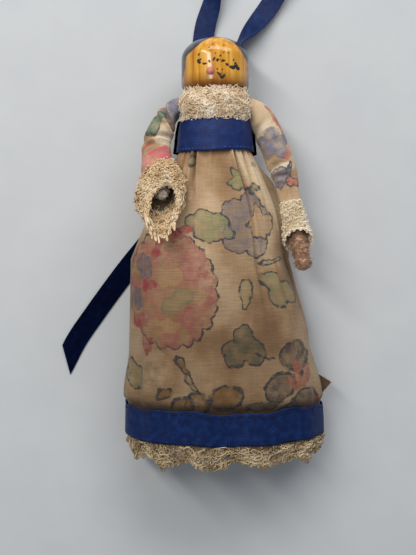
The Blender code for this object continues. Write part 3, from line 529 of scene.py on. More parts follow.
def skirt_points(turn, drop, offset=0.0, folded=1.0):
    """The skirt's surface at turns round it and drops below the waist, moved outward by an offset; folded is
    the share of its folds that shows."""
    turn, drop = np.broadcast_arrays(np.asarray(turn, float), np.asarray(drop, float))
    across, rise = np.cos(turn), np.sin(turn)
    to_hip = np.clip(drop / HIP_DROP, 0, 1)
    past_hip = np.clip((drop - HIP_DROP) / (SKIRT_LENGTH - HIP_DROP), 0, 1.2)

    def level(waist, hip, hem, fullness, hem_fullness):
        bell = to_hip + (np.sin(to_hip * math.pi / 2) - to_hip) * fullness
        flare = past_hip + (np.sin(past_hip * math.pi / 2) - past_hip) * hem_fullness
        return np.where(drop < HIP_DROP, waist + (hip - waist) * bell, hip + (hem - hip) * flare)

    reach = np.where(across > 0, level(WAIST_RADIUS, HIP_RIGHT, HEM_RIGHT, RIGHT_FULLNESS, RIGHT_FULLNESS),
                     level(WAIST_RADIUS, HIP_LEFT, HEM_LEFT, LEFT_FULLNESS, LEFT_FULLNESS))
    front = level(AXIS_HEIGHT + WAIST_RADIUS, HIP_FRONT_HEIGHT, HEM_FRONT_HEIGHT, RIGHT_FULLNESS, 0)
    side = AXIS_HEIGHT + (HEM_SIDE_HEIGHT - AXIS_HEIGHT) * drop / SKIRT_LENGTH
    back = (AXIS_HEIGHT - WAIST_RADIUS) * np.clip(1 - drop / REST_DROP, 0, 1)
    back = back + RIBBON_LIFT * np.clip((drop - REST_END_DROP) / (RIBBON_TOP_DROP - REST_END_DROP), 0, 1)

    fold = RIPPLE_DEPTH * drop / SKIRT_LENGTH * np.cos(RIPPLES * turn)
    # Gathers at the waist: uneven tucks that open out within some 20 mm
    uneven = turn + 0.09 * np.sin(5 * turn + 1.3) + 0.05 * np.sin(11 * turn + 0.4)
    gather = np.cos(GATHERS * uneven) * (0.65 + 0.35 * np.sin(7 * turn + 2.0))
    fold = fold + GATHER_DEPTH * gather * ease(drop, 0.0005, 0.004) * (1 - ease(drop, 0.006, 0.026))
    for start_turn, end_turn, *lengths in FOLDS:
        start, end, depth, half_width = np.array(lengths) / 1000
        along = np.clip((drop - start) / (end - start), 0, 1)
        centre = np.radians(start_turn + (end_turn - start_turn) * along)
        away = (turn - centre) * np.maximum(reach, 0.012) / (half_width * (0.55 + 0.9 * along))
        tucked = hump(away) - 0.55 * hump(away, 1.7, 1.2) - 0.35 * hump(away, -1.9, 1.3)
        opened = ease(drop, start + 0.55 * (end - start), end + 0.001)
        fold = fold - depth * tucked * ease(drop, start - 0.001, start + 0.004) * (1 - opened)
    # Slack cloth between the folds
    slack = np.sin(3.1 * turn + 70 * drop + 0.6) * np.sin(95 * drop + 2.3 * turn)
    fold = fold + SLACK_DEPTH * slack * ease(drop, 0.010, 0.030) * (1 - ease(drop, 0.070, 0.080))
    # The cloth bags out over the ribbon's upper edge
    bag = BAG_OUT * ease(drop, 0.060, 0.0742) * (1 - ease(drop, 0.0752, RIBBON_TOP_DROP + 0.0002))
    bag = bag * (1 + 0.35 * np.sin(9 * turn + 0.7) + 0.3 * np.sin(23 * turn + 1.9))
    out = offset + folded * (fold * np.maximum(0, rise) + bag * np.clip(0.6 + rise, 0, 1))

    # The lapped back swells out under the right arm and again where its corner turns out
    lap = LAP_REACH * np.exp(-((drop - LAP_DROP) / LAP_HALF_LENGTH) ** 4)
    lap = (lap + ARM_SWELL * ease(drop, 0.003, 0.012) * (1 - ease(drop, 0.026, 0.044))) * (across > 0)
    under = np.sin(math.pi * np.clip((-rise - LAP_START) / (LAP_END - LAP_START), 0, 1))
    z = np.where(rise > 0, side + (front + out - side) * rise,
                 side - (side - back + offset) * np.minimum(1, -rise * BACK_FLATNESS))
    swept = HEM_SWEEP * past_hip ** 2 * across ** 4
    return np.stack([(reach + out + lap * under) * across, WAIST_Y - drop + swept, z], axis=-1)


SKIRT_COLUMNS = 420
SKIRT_ROWS = 130
# The lapped edges meet behind the right side, at this turn
LAP_TURN = math.radians(-40)
skirt_turns = np.linspace(LAP_TURN, LAP_TURN + 2 * math.pi, SKIRT_COLUMNS)
skirt_drops = np.linspace(0, SKIRT_LENGTH, SKIRT_ROWS)
skirt_grid = skirt_points(skirt_turns, skirt_drops[:, None])


def on_cloth(round_it, down):
    """Places on the flat cloth, round the doll and down it."""
    return np.stack(np.broadcast_arrays(round_it, down), axis=-1)


def flat_cloth(grid, drops, middle_column):
    """Places on the flat cloth of a grid: round it from a middle column, and down it."""
    steps = np.linalg.norm(np.diff(grid, axis=1), axis=2)
    round_it = np.concatenate([np.zeros((len(grid), 1)), np.cumsum(steps, axis=1)], axis=1)
    return on_cloth(round_it - round_it[:, middle_column:middle_column + 1], drops[:, None])


front_column = int(np.argmin(np.abs(skirt_turns - math.pi / 2)))
skirt_cloth = flat_cloth(skirt_grid, skirt_drops, front_column)


def cloth_at(x, y):
    """Where a point of the skirt's front, seen from above, lies on the flat cloth; all in mm."""
    away = np.hypot(skirt_grid[..., 0] - x / 1000, skirt_grid[..., 1] - y / 1000)
    away = np.where(skirt_grid[..., 2] > HEM_SIDE_HEIGHT, away, 1.0)
    return skirt_cloth[np.unravel_index(np.argmin(away), away.shape)] * 1000


# The print: lobes of each kind of leaf or flower as left, down, reach across and reach along, in hundredths
# of its size
SHAPES = {
    "oak leaf": ((-58, 12, 42, 36), (-24, 44, 44, 44), (26, 40, 46, 46), (60, -2, 42, 38), (0, -24, 64, 54)),
    "heart leaf": ((-42, 26, 52, 58), (40, 20, 54, 60), (-6, -46, 44, 52)),
    "petals": ((0, -56, 46, 44), (54, -16, 46, 44), (34, 48, 46, 44), (-34, 48, 46, 44), (-54, -16, 46, 44),
               (0, 0, 40, 40)),
    "star": ((0, 0, 92, 30), (0, 0, 30, 92), (34, 34, 42, 40), (-34, 30, 40, 40)),
    "leaf": ((0, -42, 40, 56), (4, 16, 66, 62), (-6, 52, 40, 46)),
    "round": ((0, 0, 96, 92), (30, 16, 66, 70)),
    "pod": ((-46, 0, 56, 62), (30, 0, 72, 80)),
    "blot": ((-34, -10, 62, 60), (36, 16, 60, 66)),
    "full flower": ((0, 0, 100, 100),),
}
# Inks from a motif's middle outward, as (share of its size, colour)
FADED_PINK = ((0.0, "#b07a62"), (0.35, "#b57c68"), (0.7, "#b16c62"), (1.0, "#a65f59"))
DUSTY_ROSE = ((0.0, "#b4716a"), (0.6, "#b97c70"), (1.0, "#ab6760"))
CRIMSON = ((0.0, "#9a2338"), (0.6, "#a52d3f"), (1.0, "#a2404a"))
SAGE = ((0.0, "#929067"), (0.7, "#87875f"), (1.0, "#747a58"))
PALE_SAGE = ((0.0, "#a99b70"), (0.7, "#9a9269"), (1.0, "#868463"))
DARK_SAGE = ((0.0, "#6d6c52"), (0.7, "#66684f"), (1.0, "#565b48"))
GREY_VIOLET = ((0.0, "#857a76"), (0.7, "#7d7374"), (1.0, "#716a6f"))
DARK_GREY = ((0.0, "#675c57"), (0.7, "#5c534f"), (1.0, "#4d4847"))
CORAL = ((0.0, "#bb6552"), (0.6, "#c0705c"), (1.0, "#b96a5a"))
OCHRE = ((0.0, "#8d672c"), (0.5, "#91692f"), (1.0, "#7f5d2c"))
TAN = ((0.0, "#c2a074"), (1.0, "#ba986d"))
FADED_TAN = ((0.0, "#d2be9f"), (0.6, "#ccb593"), (1.0, "#bda17c"))
BLUE_GREY = ((0.0, "#6d7180"), (0.7, "#62687a"), (1.0, "#565c6c"))
# A motif is drawn round with a line, or left plain
DRAWN, PLAIN = True, False
# The print on the skirt's front: place seen from above, reach across and along, all in mm, turn in degrees,
# shape, inks, and whether it is drawn round
SKIRT_PRINT = (
    (-18.6, -20.6, 8.6, 7.8, 0, "round", FADED_TAN, PLAIN),
    (-13.8, 3.4, 15, 17.6, 15, "full flower", FADED_PINK, DRAWN),
    (-6.6, 10.5, 5.2, 6.4, 40, "blot", DUSTY_ROSE, PLAIN),
    (-10.8, 0, 6, 4.6, 20, "blot", PALE_SAGE, PLAIN),
    (-12.8, 7, 3.6, 5.2, -20, "blot", TAN, PLAIN),
    (-15, -7.6, 5.6, 3.6, -10, "blot", TAN, PLAIN),
    (-6.5, -4, 3.4, 5.6, 0, "blot", DUSTY_ROSE, PLAIN),
    (-9.8, 19.2, 5.6, 2.8, 24, "blot", CRIMSON, PLAIN),
    (-16.6, 15, 4, 2.6, 60, "blot", CRIMSON, PLAIN),
    (-20.5, 9.8, 3.4, 4.6, 10, "petals", BLUE_GREY, PLAIN),
    (-19, 4.5, 3, 3.4, -15, "blot", CRIMSON, PLAIN),
    (-22.4, 0.5, 2.6, 3.8, 20, "petals", BLUE_GREY, PLAIN),
    (-21.6, -5.8, 3.4, 3, 0, "round", CRIMSON, PLAIN),
    (-19.4, -12.5, 2.4, 4.4, 6, "pod", CRIMSON, PLAIN),
    (10, 21.8, 9.6, 10.4, -10, "petals", GREY_VIOLET, DRAWN),
    (12.6, 23, 6.6, 6.2, 15, "star", TAN, DRAWN),
    (4, 21.4, 3.6, 5, 15, "blot", GREY_VIOLET, PLAIN),
    (-1.8, 20.6, 7.6, 5.6, 166, "oak leaf", SAGE, DRAWN),
    (6.4, 34.6, 4, 4.4, 35, "star", SAGE, DRAWN),
    (10.8, 39.4, 2.8, 1.8, 0, "blot", GREY_VIOLET, PLAIN),
    (10.8, 32.2, 3.4, 1.5, 20, "pod", SAGE, DRAWN),
    (-6.6, 39.8, 1.8, 2.2, 0, "round", SAGE, DRAWN),
    (8.6, 1.8, 3.4, 4.8, 178, "leaf", PALE_SAGE, DRAWN),
    (19.2, 2.4, 9.2, 5.2, 158, "heart leaf", PALE_SAGE, DRAWN),
    (16.6, 11.6, 5.6, 1, 8, "pod", PALE_SAGE, DRAWN),
    (8, -13.4, 6.8, 6.8, 8, "heart leaf", DARK_SAGE, DRAWN),
    (14.2, -16.2, 3.4, 0.6, -14, "pod", DARK_SAGE, DRAWN),
    (23.6, -15.7, 6.2, 5, 0, "round", DARK_GREY, DRAWN),
    (18.4, -24.6, 5.8, 4.6, 30, "round", DARK_GREY, DRAWN),
    (26.8, -28.4, 6, 4.4, 0, "round", DARK_GREY, DRAWN),
    (24.6, -20.8, 6.4, 5.4, 25, "star", CORAL, PLAIN),
    (25, -20.9, 1.1, 1.1, 0, "round", DARK_GREY, DRAWN),
    (28.2, -29.6, 4.4, 3.6, 0, "blot", CORAL, PLAIN),
    (-9.4, -18.8, 3.6, 1.7, -52, "pod", OCHRE, DRAWN),
    (-6.8, -23.1, 3.2, 1.6, -58, "pod", PALE_SAGE, DRAWN),
    (-14.6, -26.4, 2.8, 2, 8, "round", OCHRE, DRAWN),
    (-5, -29.6, 4, 4, 0, "round", OCHRE, DRAWN),
    (-9.2, -30, 3.8, 3.6, 0, "round", OCHRE, DRAWN),
    (3, -27, 5.4, 4.2, 10, "round", OCHRE, DRAWN),
    (13.4, -29.8, 5, 2.2, 4, "pod", DARK_SAGE, DRAWN),
    (20.2, -31.2, 3.4, 1.7, 25, "pod", DARK_SAGE, DRAWN),
    (-24, -20.5, 4, 6.2, 20, "oak leaf", PALE_SAGE, DRAWN),
)
# The print comes round again after this length of cloth
PRINT_REPEAT = 0.080
LINE_WIDTH = 0.00062
SLATE_LINE = "#333947"
RUFFLES = 23


def printed_cotton(name, motifs, shaded_to_hem):
    """Quilting cotton, roller-printed and faded: a tan ground under thin inks that soak unevenly into the
    weave, drawn round with a fine slate line; matt, with a slight bloom of lint at grazing angles."""
    material, add, shader = new_material(name)
    flat = add("UVMap", uv_map="cloth")
    round_it, down, _ = add("SeparateXYZ", flat).node.outputs
    cloth = add("CombineXYZ", add("Math WRAP", round_it, PRINT_REPEAT / 2, -PRINT_REPEAT / 2), down)
    # A hand-drawn line wavers by about half a millimetre, every 3 mm
    waver = add("TexNoise", cloth, 1 / 0.00303, 2.5, output="Color")
    waver = add("VectorMath SUBTRACT", waver, (0.5, 0.5, 0.5))
    cloth = add("VectorMath MULTIPLY_ADD", waver, (0.0026, 0.0026, 0), cloth)
    # The ground has aged in patches of 11 mm and stains of 26 mm, and the inks soaked in by patches of 3 mm
    age = add("TexNoise", flat, 1 / 0.0111, 5.0)
    stain = add("TexNoise", flat, 1 / 0.0263, 2.0)
    age = add("Math MULTIPLY_ADD", stain, 0.7, add("Math MULTIPLY", age, 0.3))
    ground = add("ValToRGB", age, stops=(
        (0.38, "#8a6a48"), (0.45, "#a28260"), (0.52, "#bfa382"), (0.62, "#d4bf9f")))
    soaked = add("MapRange", add("TexNoise", flat, 1 / 0.00333, 4.0), 0.36, 0.60, 0.35, 0.92)
    # The printed pen line is uneven, and every few mm it fades out
    pressed = add("MapRange", add("TexNoise", flat, 1 / 0.00238, 2.0), 0.34, 0.50, 0.15, 0.92)
    color = ground
    for x, y, wide, long, turn, shape, inks, drawn in motifs:
        wide, long, turn = wide / 1000, long / 1000, math.radians(turn)
        full = shape == "full flower"
        left_way = (math.cos(turn) / wide, math.sin(turn) / wide, 0)
        down_way = (-math.sin(turn) / long, math.cos(turn) / long, 0)
        middle = np.array((left_way, down_way))[:, :2] @ (x / 1000, y / 1000)
        shares = [add("VectorMath DOT_PRODUCT", cloth, way) for way in (left_way, down_way)]
        local = add("CombineXYZ", *shares)
        # How far out a place lies: under 1 inside the motif, 1 on its edge
        out = None
        for lobe in np.array(SHAPES[shape]) / 100:
            shift = -(middle + lobe[:2]) / lobe[2:]
            lobe = add("VectorMath MULTIPLY_ADD", local, (*(1 / lobe[2:]), 0), (*shift, 0))
            lobe = add("VectorMath LENGTH", lobe)
            out = lobe if out is None else add("Math SMOOTH_MIN", out, lobe, 0.3)
        if full:
            from_middle = [add("Math SUBTRACT", share, float(at)) for share, at in zip(shares, middle)]
            angle = add("Math ARCTAN2", *from_middle)
            ruffle = add("Math ABSOLUTE", add("Math SINE", add("Math MULTIPLY", angle, RUFFLES / 2)))
            out = add("Math DIVIDE", out, add("Math MULTIPLY_ADD", ruffle, 0.07, 0.95))
        line = LINE_WIDTH / math.sqrt(wide * long) * (1.0 if full else 1.7)
        ink = add("ValToRGB", out, stops=[(place * (1 - line), code) for place, code in inks])
        if full:
            # A full-blown flower is shaded in patches of some 4 mm where the ground shows through
            patch = add("MapRange", add("TexNoise", flat, 1 / 0.00385, 1.5), 0.50, 0.58, To_Max=0.75)
            ink = add("Mix RGBA", patch, ink, "#a88a5e")
        inside = add("MapRange", out, 1 - line * 0.7, 1 - line * 0.3, 1.0, 0.0)
        color = add("Mix RGBA", add("Math MULTIPLY", inside, soaked), color, ink)
        if drawn:
            on_line = add("Math COMPARE", out, 1 - line * 0.5, line * 0.5)
            color = add("Mix RGBA", add("Math MULTIPLY", on_line, pressed), color, SLATE_LINE)
    # The raised threads are rubbed bare in specks under 1 mm
    worn = add("MapRange", add("TexNoise", flat, 1 / 0.00091, 4.0, 0.7), 0.45, 0.75, To_Max=0.45)
    color = add("Mix RGBA", worn, color, ground)
    # Threads are 0.35 mm apart in such cloth, just under a pixel here, so they are drawn at 0.4 to 0.5 mm;
    # each is uneven, and the thicker ones run across
    warp = add("TexNoise", add("Mapping", flat, Scale=(1 / 0.0005, 1 / 0.00556, 1.0)), 1.0, 1.0)
    weft = add("TexNoise", add("Mapping", flat, Scale=(1 / 0.005, 1 / 0.000417, 1.0)), 1.0, 2.0)
    uneven = add("Math MULTIPLY_ADD", weft, 2.4, warp)
    color = add("VectorMath SCALE", color, add("MapRange", uneven, 1.15, 2.25, 0.87, 1.11))
    if shaded_to_hem:
        # Painted shade: darker towards the hem, and a painted shadow in a narrow band along the hem ribbon's
        # upper edge
        hem_shade = add("ValToRGB", add("MapRange", down, From_Max=0.1), stops=(
            (0.0, "#ffffff"), (0.20, "#fcfbf9"), (0.38, "#e8e4df"), (0.50, "#cfc8c1"), (0.64, "#b9b1a8"),
            (0.745, "#b1a99e"), (0.772, "#62584e")))
        color = add("Mix RGBA", 1.0, color, hem_shade, blend_type="MULTIPLY")
    plug(shader, Base_Color=color, Normal=add("Bump", 0.4, 0.00012, Height=uneven),
         Roughness=0.9, Sheen_Weight=0.12, Sheen_Roughness=0.5)
    return material


skirt_motifs = [(*cloth_at(x, y), *motif) for x, y, *motif in SKIRT_PRINT]
PRINTED_COTTON = printed_cotton("printed_cotton", skirt_motifs, True)
CLOTH_THICKNESS = 0.0005


def add_sheet(name, grid, material, cloth=None, thickness=0):
    """A sheet over a grid of points, thickened inward, away from the side that its faces show."""
    made = add_mesh(name, grid, grid_faces(*grid.shape[:2]), material, cloth)
    if thickness:
        solid = made.modifiers.new("thickness", "SOLIDIFY")
        solid.thickness = thickness
        solid.offset = -1.0
    return made


skirt = add_sheet("gathered_skirt", skirt_grid, PRINTED_COTTON, skirt_cloth, CLOTH_THICKNESS)
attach(skirt, "doll")
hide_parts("skirt")

# Sleeves: tubes of the same printed cotton sewn along one side, drawn over the wire arms. Each slopes out
# of the bodice, lies soft and rather flat on its arm and creases in the bend of the elbow.
LEAF_GREEN = ((0.0, "#4f7d62"), (0.7, "#46735a"), (1.0, "#3d6450"))
SLATE = ((0.0, "#747a94"), (0.6, "#686e88"), (1.0, "#5b6178"))
CREAM = ((0.0, "#e2d8c4"), (1.0, "#d9cbb0"))
SALMON = ((0.0, "#cf7a74"), (0.6, "#d28a80"), (1.0, "#cb8074"))
RED_FLOWER = ((0.0, "#7b7396"), (0.22, "#8a7895"), (0.30, "#b8344c"), (0.7, "#c4435a"), (1.0, "#c9586a"))
# The print on the sleeves: place round the sleeve (0 faces up, growing to the viewer's left) and along the
# cloth, then as for the skirt
SLEEVE_PRINT = (
    (0, 123.2, 10, 6.4, -26, "round", SLATE, PLAIN),
    (-0.6, 122.2, 8, 4.8, -26, "round", SLATE, PLAIN),
    (-3, 134.6, 5.4, 4.8, -20, "round", CREAM, PLAIN),
    (2.4, 131.2, 2.8, 4.6, -8, "heart leaf", LEAF_GREEN, DRAWN),
    (2.2, 132.2, 2.3, 3.6, 0, "round", LEAF_GREEN, PLAIN),
    (0, 147.4, 15, 9.2, -23, "blot", SALMON, PLAIN),
    (-3.4, 142.4, 5.4, 4.2, 20, "petals", RED_FLOWER, PLAIN),
    (4, 140, 3.6, 1.6, 40, "blot", CRIMSON, PLAIN),
    (-5.2, 170, 2.6, 6.6, 8, "pod", CRIMSON, PLAIN),
    (1.8, 170, 4, 2.6, 8, "blot", CREAM, PLAIN),
    (0.4, 175.2, 6.2, 5, -14, "petals", SLATE, PLAIN),
    (-4.4, 178.6, 4, 2.2, 24, "blot", CORAL, PLAIN),
    (1.2, 182.5, 6, 2.6, -8, "blot", CREAM, PLAIN),
    (2.2, 185.8, 4.2, 3.4, 34, "petals", SLATE, DRAWN),
    (-2.4, 187.6, 3.4, 2.4, -20, "blot", CORAL, DRAWN),
    (-1.8, 183.8, 2.6, 1.3, 60, "pod", BLUE_GREY, DRAWN),
)
SLEEVE_COTTON = printed_cotton("sleeve_cotton", SLEEVE_PRINT, False)
SLEEVE_STEPS = 120
SLEEVE_SEGMENTS = 80
SLEEVE_FLATNESS = 0.86
# The rows of cloth that turn with the shoulder end here, where the sleeve lies along the upper arm
SHOULDER_ROWS = 42


def sleeve(side, path, elbow, fore, lower, cloth_start, creases, dice):
    """A sleeve along a path to the elbow and on past it by lower, in two pieces, the shoulder and the arm,
    which share one row of points."""
    path, lower = np.array(path) / 1000, np.array(lower) / 1000
    run_in = unit(elbow - path[-1, :3])
    at_elbow = (*(elbow - run_in * 0.0016 + fore * 0.0008), 0.0040)
    past_elbow = np.column_stack([elbow + np.outer(lower[:, 0], fore), lower[:, 1]])
    line = smooth_path(np.vstack([path, at_elbow, past_elbow]), per_span=24)
    length = length_along(line[:, :3])
    spots = np.linspace(0, length[-1], SLEEVE_STEPS)
    line = along_at(spots, length, line)
    line, radius = line[:, :3], line[:, 3:]
    _, across, over = frames_along(line, (0, 0, 1))
    along, turn = np.meshgrid(spots, np.linspace(-math.pi, math.pi, SLEEVE_SEGMENTS), indexing="ij")
    wrinkle = 0.00016 * np.sin(2 * turn + 300 * along + dice) * np.sin(430 * along + turn + 2 * dice)
    wrinkle += 0.00010 * np.sin(5 * turn - 210 * along + 3 * dice)
    for *lengths, centre, spread in creases:
        place, lean, depth, half_length = np.array(lengths) / 1000
        away = (along - place - lean * (turn - centre)) / half_length
        dip = hump(away) - 0.6 * hump(away, 1.9, 1.1) - 0.4 * hump(away, -2.0, 1.2)
        wrinkle -= depth * dip * hump(turn, centre, spread)
    # A turn of 0 faces up, and turns grow towards the viewer's left
    points = line[:, None] + (radius + wrinkle)[..., None] * (
        np.sin(turn)[..., None] * across[:, None] + SLEEVE_FLATNESS * np.cos(turn)[..., None] * over[:, None])
    cloth = on_cloth(turn * 0.004, cloth_start + along)
    shoulder_rows, arm_rows = slice(0, SHOULDER_ROWS + 1), slice(SHOULDER_ROWS, SLEEVE_STEPS)
    shoulder_piece = add_sheet(side + "_shoulder", points[shoulder_rows], SLEEVE_COTTON, cloth[shoulder_rows])
    arm_piece = add_sheet(side + "_sleeve", points[arm_rows], SLEEVE_COTTON, cloth[arm_rows])
    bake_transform(shoulder_piece)
    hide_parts(side + "_upper_sleeve")
    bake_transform(arm_piece)
    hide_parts(side + "_upper_sleeve", side + "_lower_sleeve")


# Each path: places from the bodice to the elbow, and the sleeve's radius there, in mm
RIGHT_PATH = ((7.8, 56.6, 13.2, 3.0), (10.8, 55.6, 13.4, 3.5), (13.6, 53.2, 13.5, 3.8),
              (16.3, 47.8, 13.4, 4.1), (18.2, 42.8, 13.2, 4.1))
LEFT_PATH = ((-7.8, 57.4, 13.4, 2.2), (-10.8, 56.6, 13.8, 2.6), (-13.6, 54.0, 14.3, 2.9),
             (-15.8, 50.0, 15.2, 3.6), (-16.8, 46.8, 15.7, 3.9))
# Reach past the elbow and the radius there, in mm
RIGHT_LOWER = ((3.2, 3.5), (7.6, 3.1), (10.8, 2.8))
LEFT_LOWER = ((3.2, 4.3), (7.2, 4.7), (11.2, 5.0))
# Creases: place along the sleeve, lean, depth and half length in mm, then the turn at the middle and the
# spread round the sleeve
RIGHT_CREASES = ((9.5, 1.4, 0.4, 1.0, 0.9, 0.8), (16.0, -1.0, 0.3, 1.2, -0.6, 1.0),
                 (22.2, 0.9, 0.8, 0.9, 0.9, 0.9), (25.2, -0.8, 0.6, 0.8, 0.4, 0.9))
LEFT_CREASES = ((8.5, -2.0, 1.8, 0.7, 0.0, 1.8), (15.0, 1.0, 1.1, 0.9, 0.1, 1.3),
                (18.5, -1.0, 0.7, 0.9, 0.3, 1.0))
# The left sleeve is cut from the cloth 40 mm before the right one
sleeve("right", RIGHT_PATH, RIGHT_ELBOW, RIGHT_FORE, RIGHT_LOWER, 0.160, RIGHT_CREASES, 0.4)
sleeve("left", LEFT_PATH, LEFT_ELBOW, LEFT_FORE, LEFT_LOWER, 0.120, LEFT_CREASES, 1.7)

# Bodice: the same printed cotton wrapped tight round the chest and peg shoulders, its top edge turned in
# under the head and its lower edge inside the skirt's waist.
CHEST_RADIUS = 0.0090
# Places up the doll and radii there
BODICE_LEVELS = np.array(((0.0590, 0.0070), (0.0589, 0.0077), (0.0582, 0.0087), (0.0565, CHEST_RADIUS),
                          (0.0500, 0.0088), (0.0436, 0.0085)))
BODICE_ROWS = 36
BODICE_COLUMNS = 150
# Cloth is closed round the doll from its back
BACK_TURN, NEXT_BACK_TURN = -math.pi / 2, 1.5 * math.pi
bodice_turns = np.linspace(BACK_TURN, NEXT_BACK_TURN, BODICE_COLUMNS)
level_marks = np.arange(len(BODICE_LEVELS))
bodice_levels = along_at(np.linspace(0, level_marks[-1], BODICE_ROWS), level_marks, BODICE_LEVELS)
bodice_y, bodice_radius = bodice_levels.T[..., None]
# Drag lines run from each armhole towards the waist
bodice_drag = 0.00016 * np.sin(9 * bodice_turns + 320 * bodice_y) * np.cos(bodice_turns) ** 2
bodice_grid = round_axis(bodice_radius + bodice_drag, bodice_y, bodice_turns)
bodice = add_sheet("wrapped_bodice", bodice_grid, SLEEVE_COTTON,
                   flat_cloth(bodice_grid, 0.200 - bodice_y[:, 0], BODICE_COLUMNS // 2), CLOTH_THICKNESS)
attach(bodice, "doll")
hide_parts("bodice")

# Skirt corner: the raw end of the skirt's back edge, turned out flat at the right above the hem ribbon,
# with a few threads worked loose along its cut.
CORNER_ROWS = 18
CORNER_COLUMNS = 12
FRAYED_THREADS = 22
corner_low, corner_high = np.array(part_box("skirt_corner"))
share = np.linspace(0, 1, CORNER_ROWS)[:, None]
across = np.linspace(0, 1, CORNER_COLUMNS)
inner = corner_low[0] - 0.0012 + 0.0016 * share
outer = corner_low[0] + (corner_high[0] - corner_low[0]) * np.minimum(share * 3, (1 - share) * 1.5) + 0.0003
lift = 0.0007 * across ** 2 * np.sin(2.4 * share + 0.3) - 0.0004 * across
corner_grid = np.stack(np.broadcast_arrays(
    inner + (outer - inner) * across, corner_high[1] - (corner_high[1] - corner_low[1]) * share,
    corner_high[2] + lift), axis=-1)
# On the cloth it lies past the hem, so the skirt's painted shade colours it at its darkest
corner = add_sheet("raw_corner", corner_grid, PRINTED_COTTON,
                   on_cloth(corner_grid[..., 0], 0.070 - corner_grid[..., 1]), CLOTH_THICKNESS)
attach(corner, "doll")
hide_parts("skirt_corner")


def sewing_thread(name, dark, light):
    """Two-ply cotton thread: matt, with the twist showing as fine flecks of a darker tone."""
    return mottled(name, 0.000417, 2.0, ((0.35, dark), (0.65, light)), Roughness=0.85)


UNBLEACHED_THREAD = sewing_thread("unbleached_thread", "#b8a98c", "#dccfb6")
fray_dice = np.random.default_rng(3)
fray_roots = corner_grid[fray_dice.integers(1, CORNER_ROWS - 1, FRAYED_THREADS), -1]
fray_reach = np.column_stack([fray_dice.uniform(low, high, FRAYED_THREADS) for low, high in (
    (0.0002, 0.0010), (-0.0006, 0.0006), (-0.0002, 0.0003))])
fray_paths = fray_roots[:, None] + fray_reach[:, None] * np.array((-0.4, 0.3, 1.0))[:, None]
corner_fray = add_mesh("corner_fray", *strands(fray_paths, 0.00007, sides=4), UNBLEACHED_THREAD)
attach(corner_fray, "doll")

# Waist thread: the gathering thread of the skirt, two plies of unbleached cotton run through its upper edge
# and drawn tight round the waist under the sash.
def plied(line, radius, twists):
    """Two plies twisted round a line, as points and faces."""
    _, side, up = frames_along(line, (0.1, 0.2, 0.97))
    turn = np.linspace(0, 2 * math.pi * twists, len(line))[:, None]
    swing = radius * 0.5 * (np.cos(turn) * side + np.sin(turn) * up)
    return strands([line + swing, line - swing], radius * 0.5, sides=6)


gather_line = skirt_points(np.linspace(0, 2 * math.pi, 300), 0.0005, 0.0005)
waist_thread = add_mesh("gathering_thread", *plied(gather_line, 0.00025, 40), UNBLEACHED_THREAD)
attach(waist_thread, "doll")
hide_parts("waist_thread")

# Sachet: dried flowers in a muslin bag that fills the skirt round the clothespin's legs. The mouth is
# gathered on the wood and bound with thread; the bag shows from below, inside the hem.
BAG_MOUTH_Y = WAIST_Y - 0.0100
BAG_BELLY_DROP = 0.0220
BAG_END_DROP = WAIST_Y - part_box("sachet_bag")[0][1]
BAG_MARGIN = 0.0022
BAG_MOUTH_RADIUS = PEG_BODY_RADIUS + 0.0009
BAG_SLOPE = 0.014
BAG_COLUMNS = 200
bag_dice = np.random.default_rng(21)


def muslin():
    """Unbleached muslin: open plain weave, soft and creased, showing warm dark specks of what it holds."""
    material, add, shader = new_material("muslin")
    flat = add("UVMap", uv_map="cloth")
    # Open muslin has threads some 0.6 mm apart, and its specks are some 2.4 mm across
    warp, weft = (add("Math SINE", add("Math MULTIPLY", way, 2 * math.pi / 0.0006))
                  for way in add("SeparateXYZ", flat).node.outputs[:2])
    weave = add("Math ADD", warp, weft)
    filled = add("TexNoise", flat, 1 / 0.00238, 3.0)
    cloth = add("ValToRGB", filled, stops=((0.32, "#a58d73"), (0.46, "#cdbfa6"), (0.7, "#ddd2bd")))
    color = add("VectorMath SCALE", cloth, add("MapRange", weave, -2.0, 2.0, 0.72, 1.06))
    plug(shader, Base_Color=color, Normal=add("Bump", 0.5, 0.00015, Height=weave), Roughness=0.95)
    return material


bag_turns = np.linspace(BACK_TURN, NEXT_BACK_TURN, BAG_COLUMNS, endpoint=False)
bag_mouth = round_axis(BAG_MOUTH_RADIUS, BAG_MOUTH_Y, bag_turns)
bag_belly = skirt_points(bag_turns, BAG_BELLY_DROP, -BAG_MARGIN)


def out_of_axis(row):
    """Directions out from the peg's axis to a row of points."""
    return unit((row - (0, 0, AXIS_HEIGHT)) * (1, 0, 1))


bag_rows, bag_downs = [], []
for share in np.linspace(0, 1, 16):
    # Gathers fan out from the binding
    pleat = 0.0006 * np.sin(26 * bag_turns + 1.5 * np.sin(4 * bag_turns)) * share * (1 - share) * 3
    row = bag_mouth + (bag_belly - bag_mouth) * share ** 1.2
    bag_rows.append(row + out_of_axis(row) * (pleat - 0.0004 * share)[:, None])
    bag_downs.append(BAG_SLOPE * share)
for share in np.linspace(0.04, 1, 44):
    drop = BAG_BELLY_DROP + (BAG_END_DROP - BAG_BELLY_DROP) * share
    lumps = 0.00045 * np.sin(9 * bag_turns + 190 * drop) * np.sin(260 * drop + 5 * bag_turns)
    row = skirt_points(bag_turns, drop, -BAG_MARGIN - 0.0004 + lumps)
    # The foot rounds over the filling
    shrink = math.sqrt(1 - (0.62 * max(0, (share - 0.86) / 0.14)) ** 2)
    middle = np.array((0.0005, WAIST_Y - drop, 0.0105))
    row[:, 1] = WAIST_Y - drop
    bag_rows.append(middle + (row - middle) * (shrink, 1, shrink))
    bag_downs.append(BAG_SLOPE + drop - BAG_BELLY_DROP)
bag_foot, foot_down = bag_rows[-1], bag_downs[-1]
